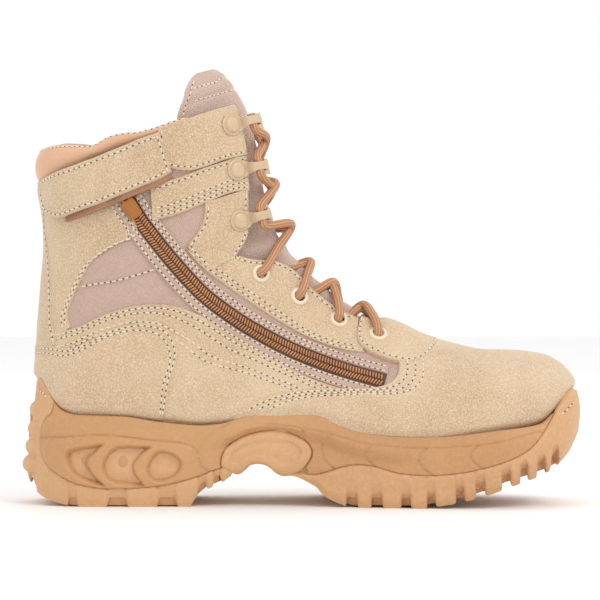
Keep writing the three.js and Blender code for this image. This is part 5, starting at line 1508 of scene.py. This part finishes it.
makeStrap()
for side in (inner, outer):
    seam = smoothCurve([[35.5, 119.5], [45, 121.5], [53.5, 122.5], [61.5, 124.5], [70, 127],
                        [79.5, 130]], 120)
    makePanel("windowSeam" + sideWord(side), side, seam + [0, 1.3], seam - [0, 1.3],
              {"rounded": "ab", "base": 0.1, "thick": 0.7, "radius": 1.2, "stitches": {"a": [1.3]}},
              nylon, "nylon")

# Padded collar: a leather roll on the top edge and a brushed one inside it.
padTable = [[11.5, 18, 5.8], [22, 14.8, 5.8], [34, 9.6, 5.2], [45, 5.2, 4.8], [53, 6.6, 4.6], [62, 5, 4.2],
            [70, 2.6, 3.6], [80, 1.6, 3.4], [100, 1.4, 3]]
padLook = {"reach": 0.7, "inset": 2.6, "wrinkle": 0.35, "liningIn": 4.6, "liningUp": 1.6}


# Each ring: foot + up (0.6 + h / 2 (1 + sin a)) + out (t cos a - inset), with soft wrinkles across.
def padGrid(inwards, raised, scale):
    w = np.linspace(-padLook["reach"], padLook["reach"], 320)
    foot, normal = onLast(np.full(320, collarRow), w)
    above, _ = onLast(np.full(320, collarRow - 0.25), w)
    up = unit(above - foot)
    out = unit(normal - up * (normal * up).sum(axis=1, keepdims=True))
    height, thick = np.moveaxis(atKey(padTable, foot[:, 0]), -1, 0)
    ends = quarterRound((padLook["reach"] - np.abs(w)) / 0.03) * 0.9 + 0.1
    angle = np.linspace(0, 2 * np.pi, 28, endpoint=False)[None]
    length = lengthsOf(foot)[:, None]
    waves = np.sin(length / 4.1) * np.sin(length / 9.3 + 1) + 0.4 * np.sin(length / 2.3)
    wrinkle = padLook["wrinkle"] * waves
    low = -2.6
    rise = low + (height[:, None] - low) / 2 * (1 + np.sin(angle)) * ends[:, None] + raised
    push = (thick[:, None] * scale + wrinkle * np.clip(np.cos(angle), 0, 1)) * np.cos(angle) * ends[:, None]
    push = push - padLook["inset"] - inwards
    return foot[:, None] + up[:, None] * rise[..., None] + out[:, None] * push[..., None], out


# The leather roll with its row of stitches, and the softer lining inside and above it.
def makeCollar():
    roll, out = padGrid(0, 0, 1.0)
    pad = closedTube("collarRoll", roll, smoothLeather, "collar")
    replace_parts(pad, "collar_pad")
    addStitches("Collar", roll[6:-6, 4], out[6:-6], 3.2)
    lining, _ = padGrid(padLook["liningIn"], padLook["liningUp"], 0.72)
    rim = closedTube("collarLining", lining, brushedLining, "lining")


makeCollar()

# Tongue: padded, its front swelling between the facings, quilted at the top.
tongueLook = {"thick": 5.5, "rows": 170, "columns": 81, "quilt": ([[98, 228.5], [118, 237.5]],
                                                                  [[99, 221.5], [122.5, 231.5]])}


# Across, the front stays on the last's front at shares t = 1 - |c|^1.7 reach; depth inwards falls where
# it swells between the facings, and rises along the quilted lines. The back lies one thickness behind.
def makeTongue():
    u = np.linspace(0.02, 9.8, tongueLook["rows"])[:, None]
    c = np.linspace(-1, 1, tongueLook["columns"])[None, :]
    reach = 0.14 + 0.125 * ease(0, 1, u) - 0.08 * ease(4, 9, u)
    reach = reach * quarterRound(u / 0.34 + 0.04)
    t = 1 - np.abs(c) ** 1.7 * reach
    s = alongTable(lastTable, np.broadcast_to(u, t.shape))
    surface = sectionPoint(s, t, np.broadcast_to(np.where(c < 0, -1, 1), t.shape))
    hub = np.stack([s[..., 0] + s[..., 2], s[..., 9] + s[..., 10], s[..., 1] + s[..., 3]], axis=-1) / 2
    inwards = unit(hub - surface)
    half = atKey(throatTable, np.clip(u, 0, 9.65))[..., 0]
    away = np.abs(surface[..., 1] - s[..., 10])
    swell = (1 - ease(0.35 * half, 0.92 * half, away)) * (1 - ease(8, 9.4, u))
    edge = 2.5 + 5.7 * ease(0.2, 1.1, u)
    depth = edge - swell * (edge - 0.8 + 2.4 * (1 - ease(0, 0.9, u)))
    x, z = surface[..., 0], surface[..., 2]
    for line in tongueLook["quilt"]:
        line = np.array(line, float)
        depth = depth + 0.7 * np.exp(-((distanceTo(line, x, z) / 1.2) ** 2)) * (z > 215)
    depth = depth + 5.0 * (1 - quarterRound(u / 0.5))
    depth = depth + 0.45 * np.sin(u * 5.2 + 0.6 * c) * ease(1.6, 2.6, u) * swell
    front = surface + inwards * depth[..., None]
    thinning = np.sqrt(np.clip((1 - np.abs(c)) / 0.06, 0.15, 1))
    thick = tongueLook["thick"] * (0.45 + 0.55 * ease(0, 0.35, u)) * thinning
    back = front + inwards * np.broadcast_to(thick, depth.shape)[..., None]
    piece = bodyOf("tonguePad", front, back, tongueNylon, "nylon", weld=0.02, sharp=60)
    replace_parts(piece, "tongue")
    for line in tongueLook["quilt"]:
        line = smoothCurve(line, 60)
        for k in (inner, outer):
            columns = slice(0, 40) if k < 0 else slice(41, 81)
            part = front[:34, columns]
            away = np.hypot(part[..., 0] - line[::6, :1, None], part[..., 2] - line[::6, 1:, None])
            near = np.unravel_index(away.reshape(len(away), -1).argmin(axis=1), part.shape[:2])
            ups = -inwards[near][np.linspace(0, len(away) - 1, 40).astype(int)]
            addStitches("Tongue", smoothCurve(part[near], 40), ups, 3.0)
    for k in (2, -3):
        addStitches("Tongue", front[3:100, k], -inwards[3:100, k], 3.2)


makeTongue()
print("boot: strap, collar and tongue ready")

# Speed hooks and eyelets.
# place and tip in the side view, and lift off the last
hooks = [[117.5, 208, 133, 212, 2.5], [121, 183.8, 136, 188, 2.0], [122.8, 155.8, 138, 160.2, 1.6]]
hookCap = [(0, 0.05), (5.4, 0.05), (5.9, 0.3), (5.9, 0.8), (5.5, 1.15), (4.7, 1.2), (4.45, 1.5), (4.35, 2.3),
           (3.9, 2.8), (2.6, 3.05), (0, 3.15)]  # radius, height
hookRun = [[3.6, 0.8], [5.4, 0.85], [6.5, 1.6], [7.2, 3.8], [8.0, 5.7], [9.2, 6.15], [13, 6.2], [16.2, 6.1],
           [17.2, 5.2], [17.3, 2.6], [17.2, 0.5], [16, -0.1], [12.6, -0.4]]  # along, out
eyelets = [[135, 127, 1.2], [156, 114.2, 1.2], [178, 101.3, 1.2], [199.5, 92, 2.8]]


# Rings of a turned shape: profile rows of (radius, height) round the normal.
def turnedGrid(point, along, across, normal, profile, count=32):
    angle = np.linspace(0, 2 * np.pi, count, endpoint=False)[None, :, None]
    r, h = (np.array(profile)[:, k][:, None, None] for k in range(2))
    return point + along * r * np.cos(angle) + across * r * np.sin(angle) + normal * h


# A hook's point and its directions along the arm, across it and out of the boot.
def hookFrame(hook, side):
    x, z, tipX, tipZ, lift = hook
    point, normal = pointOnSide(x, z, side, lift)
    tip, _ = pointOnSide(tipX, tipZ, side, lift)
    along = tip - point
    along = unit(along - normal * (along @ normal))
    return point, along, np.cross(normal, along), normal


# A turned cap and a flat arm that rises, runs forward and turns back in at its tip.
def makeHook(k, side):
    point, along, across, normal = hookFrame(hooks[k], side)
    disc = turnedGrid(point, along, across, normal, hookCap)
    run = smoothCurve(hookRun, 60)
    path = point + run[:, :1] * along + run[:, 1:] * normal
    reach = run[:, 0]
    wide = 2.9 + 1.9 * ease(7.4, 4.6, reach) - 0.55 * ease(7, 9, reach) + 0.75 * ease(14.5, 16.6, reach)
    box = roundedBox(2, 0.95, 0.35, 4)
    section = np.stack([np.stack([box[:, 0] * w, box[:, 1]], axis=1) for w in wide])
    up = np.cross(unit(np.gradient(path, axis=0)), across)
    arm = cappedGrid(sweepGrid(path, up, section))
    word = sideWord(side)
    piece = makeGrids("hook" + word + str(k + 1), [disc, arm], sandPaint, "hook", sharp=45)
    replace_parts(piece, "hook_" + word.lower() + "_" + str(k + 1))


# A turned ring with a rolled rim, and a dark plug in its hole as painted shade.
def makeEyelet(k, side):
    x, z, lift = eyelets[k]
    point, normal = pointOnSide(x, z, side, lift)
    along = unit(np.cross([0, 0, 1.0], normal))
    across = np.cross(normal, along)
    profile = [(3.6, -3.4), (2.95, -3.4), (2.9, 0.5), (3.05, 0.95), (3.5, 1.2), (4.2, 1.2), (4.8, 0.9),
               (5.1, 0.4), (5.1, -0.4), (3.6, -0.5)]
    grid = turnedGrid(point, along, across, normal, profile)
    word = sideWord(side)
    piece = makeGrids("eyelet" + word + str(k + 1), [grid], creamPaint, "eyelet", closeRows=True)
    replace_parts(piece, "eyelet_" + word.lower() + "_" + str(k + 1))
    plug = turnedGrid(point, along, across, normal, [(0, -0.6), (3.0, -0.6), (3.0, 0.12), (0, 0.12)])
    makeGrids("eyeletHole" + word + str(k + 1), [plug], darkGap, "lining")


creamPaint = grainyMaterial("creamPaint", dict(
    paintLook, main=(228, 212, 184), dark=(212, 192, 160), light=(240, 228, 206)))
# Near black brown for the painted shade in the eyelets' holes.
darkGap = grainyMaterial("darkGap", dict(
    holeShadeLook, main=(58, 38, 28), dark=(40, 26, 20), light=(76, 54, 42)))
for side in (inner, outer):
    for k in range(len(hooks)):
        makeHook(k, side)
    for k in range(len(eyelets)):
        makeEyelet(k, side)

# Lace: one cord from the top hooks down through every eyelet and back.
crossings = [[136.3, 200.5], [141.6, 174.5], [150.1, 152.4], [162, 134], [175, 122.4], [191.8, 109.6]]
laceLook = {"radius": 2.35, "over": 3.3, "under": -0.7, "points": 900}
throatOut = np.array([0.55, 0, 0.83])  # out of the throat


# Where the lace runs under a hook's arm: 13.4 mm along it, 2.9 mm out and some way down.
def hookRoute(k, side, drop):
    point, along, _, normal = hookFrame(hooks[k], side)
    down = np.array([0, 0, -1.0])
    down = down - normal * (down @ normal)
    down = unit(down - along * (down @ along))
    return point + along * 13.4 + normal * 2.9 + down * drop


# A point of the lace over or under an eyelet's middle.
def eyeletRoute(k, side, lift):
    x, z, base = eyelets[k]
    return pointOnSide(x, z, side, base + lift)[0]


# Half of the lace's way, from a top hook, crossing at each crossing, to the lowest eyelet.
def laceHalf(side):
    height = laceLook["over"] if side < 0 else laceLook["under"]

    def centre(k):
        x, z = crossings[k]
        rise = height if k < 3 else height * 0.6 - 1.6
        return np.array([x, -4.5 * ease(150, 195, x), z]) + throatOut * rise

    way = [hookRoute(0, side, -3.6), hookRoute(0, side, 0), hookRoute(0, side, 5.4), centre(0),
           hookRoute(1, -side, -5.4), hookRoute(1, -side, 0), hookRoute(1, -side, 5.4), centre(1),
           hookRoute(2, side, -5.4), hookRoute(2, side, 0), hookRoute(2, side, 5.9), centre(2)]
    turn = -side
    for k in range(4):
        over = eyeletRoute(k, turn, 3.6)
        edge = (over + centre(k + 2)) / 2 + throatOut * (2.2 if k == 0 else 1.5)
        down = eyeletRoute(k, turn, -2.6)
        way += [edge, over + (edge - over) * 0.18, down]
        if k < 3:
            under = (down + centre(k + 3)) / 2 - throatOut * 1.6
            way += [under, centre(k + 3)]
            turn = -turn
    return way


# Both halves joined by a bar under the last crossing, as one round cord whose up direction is carried
# along without turning.
def makeLace():
    first, second = laceHalf(inner), laceHalf(outer)
    bar = (first[-1] + second[-1]) / 2 - np.array([0, 0, 1.0])
    path = smoothCurve(np.array(first + [bar] + second[::-1]), laceLook["points"])
    tangent = unit(np.gradient(path, axis=0))
    up = throatOut + 0 * path
    up = unit(up - (up * tangent).sum(axis=1, keepdims=True) * tangent)
    for i in range(1, len(up)):
        carried = up[i - 1] - tangent[i] * (up[i - 1] @ tangent[i])
        up[i] = carried / max(np.linalg.norm(carried), 1e-9)
    grid = sweepGrid(path, up, ringOf(16, laceLook["radius"]))
    lace = closedTube("laceCord", grid, braidedLace, "lace")
    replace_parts(lace, "lace")
    return lengthsOf(path)[-1]


laceLength = makeLace()
print("boot: hooks, eyelets and lace ready, lace mm", round(laceLength))


# Insole inside, between two lifts under the shell; then a few stitches on the toe's bumper and the heel.
def makeInsole():
    u = np.linspace(8.15, 18.3, 45)[:, None]
    w = np.linspace(-0.26, 0.26, 31)[None, :]
    u, w = np.broadcast_arrays(u, w)
    top, _ = onLast(u, w, -wallThick - 4.2)
    low, _ = onLast(u, w, -wallThick - 0.4)
    piece = bodyOf("insolePad", top, low, brushedLining, "lining")
    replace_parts(piece, "insole")


makeInsole()
soleStitches = [
    # line in the side view, its points, lift, up direction for the outer side, pitch
    ([[297.4, 50.4], [300.6, 51.8], [303.3, 54.5], [306.6, 56.9]], 60, 0.3, (0.45, 0.9, 0.0), 3.2),
    ([[11.8, 63.2], [14.6, 62.0], [17.6, 59.4]], 40, 0.2, (-0.6, 0.8, 0.0), 2.8),
]
for side in (inner, outer):
    for corners, count, lift, up, pitch in soleStitches:
        x, z = smoothCurve(corners, count).T
        line = np.stack([x, wallY(x, z, side) + side * lift, z], axis=1)
        addStitches("Bumper", line, np.array([up]) * [1, side, 1] + 0 * line, pitch)
for batch in stitchLists:
    makeThreads(batch, creamThread)
    makeHoles(batch)
print("boot: stitches ready")

# Floor, lights and camera. The floor is one large pale square.
def makeStage():
    mesh = bpy.data.meshes.new("floor")
    reach = 6.0
    mesh.from_pydata([(-reach, -reach, 0), (reach, -reach, 0), (reach, reach, 0), (-reach, reach, 0)], [],
                     [(0, 1, 2, 3)])
    floor = bpy.data.objects.new("floor", mesh)
    bpy.context.scene.collection.objects.link(floor)
    material, tree, shader, coords = startMaterial("paleFloor", 0.75)
    vector = coords.outputs["Object"]
    tones = groupNode(tree, "tones", {
        "Vector": vector, "Main": (0.95, 0.95, 0.95, 1), "Dark": (0.94, 0.94, 0.94, 1),
        "Light": (0.96, 0.96, 0.96, 1), "Patch Scale": 2.0, "Speck Scale": 300.0})
    tree.links.new(tones.outputs["Color"], shader.inputs["Base Color"])
    mesh.materials.append(material)


# A square lamp at a place, turned so that its -z points at the target.
def addLight(name, place, target, size, power):
    data = bpy.data.lights.new(name, "AREA")
    data.shape, data.size, data.energy = "SQUARE", size, power
    lamp = bpy.data.objects.new(name, data)
    bpy.context.scene.collection.objects.link(lamp)
    lamp.location = place
    way = np.array(target) - np.array(place)
    lamp.rotation_euler = (math.atan2(math.hypot(way[0], way[1]), -way[2]), 0, math.atan2(-way[0], way[1]))


cameraLook = {"distance": 1.3469, "height": 0.1126, "aim": 0.0, "width": 0.336, "sensor": 36.0, "roll": 0.1}
lightLook = [
    # name, place, aim, size, power
    ("key", (1.0, -1.2, 1.6), (0, 0, 0.1), 0.8, 10.0),
    ("fill", (-1.2, -1.6, 0.7), (0, 0, 0.1), 1.6, 1.5),
    ("top", (0.1, 0.2, 2.0), (0, 0, 0.1), 1.8, 3.5),
    ("back", (0.3, 1.6, 1.1), (0, 0, 0.12), 1.6, 2.0),
]


# A level camera at the boot's inner side; its lens shows the given width at 1.35 m.
def makeCamera():
    data = bpy.data.cameras.new("camera")
    data.sensor_width = cameraLook["sensor"]
    data.lens = cameraLook["sensor"] * 1.35 / cameraLook["width"]
    camera = bpy.data.objects.new("camera", data)
    bpy.context.scene.collection.objects.link(camera)
    camera.location = (cameraLook["aim"], -cameraLook["distance"], cameraLook["height"])
    camera.rotation_euler = (math.pi / 2, math.radians(cameraLook["roll"]), 0)
    bpy.context.scene.camera = camera


makeStage()
for light in lightLook:
    addLight(*light)
makeCamera()
world = bpy.data.worlds.new("studio")
world.use_nodes = True
world.node_tree.nodes["Background"].inputs["Color"].default_value = (1, 1, 1, 1)
world.node_tree.nodes["Background"].inputs["Strength"].default_value = 1.0
bpy.context.scene.world = world
bpy.context.scene.view_settings.view_transform = "Standard"
print("boot: stage ready")
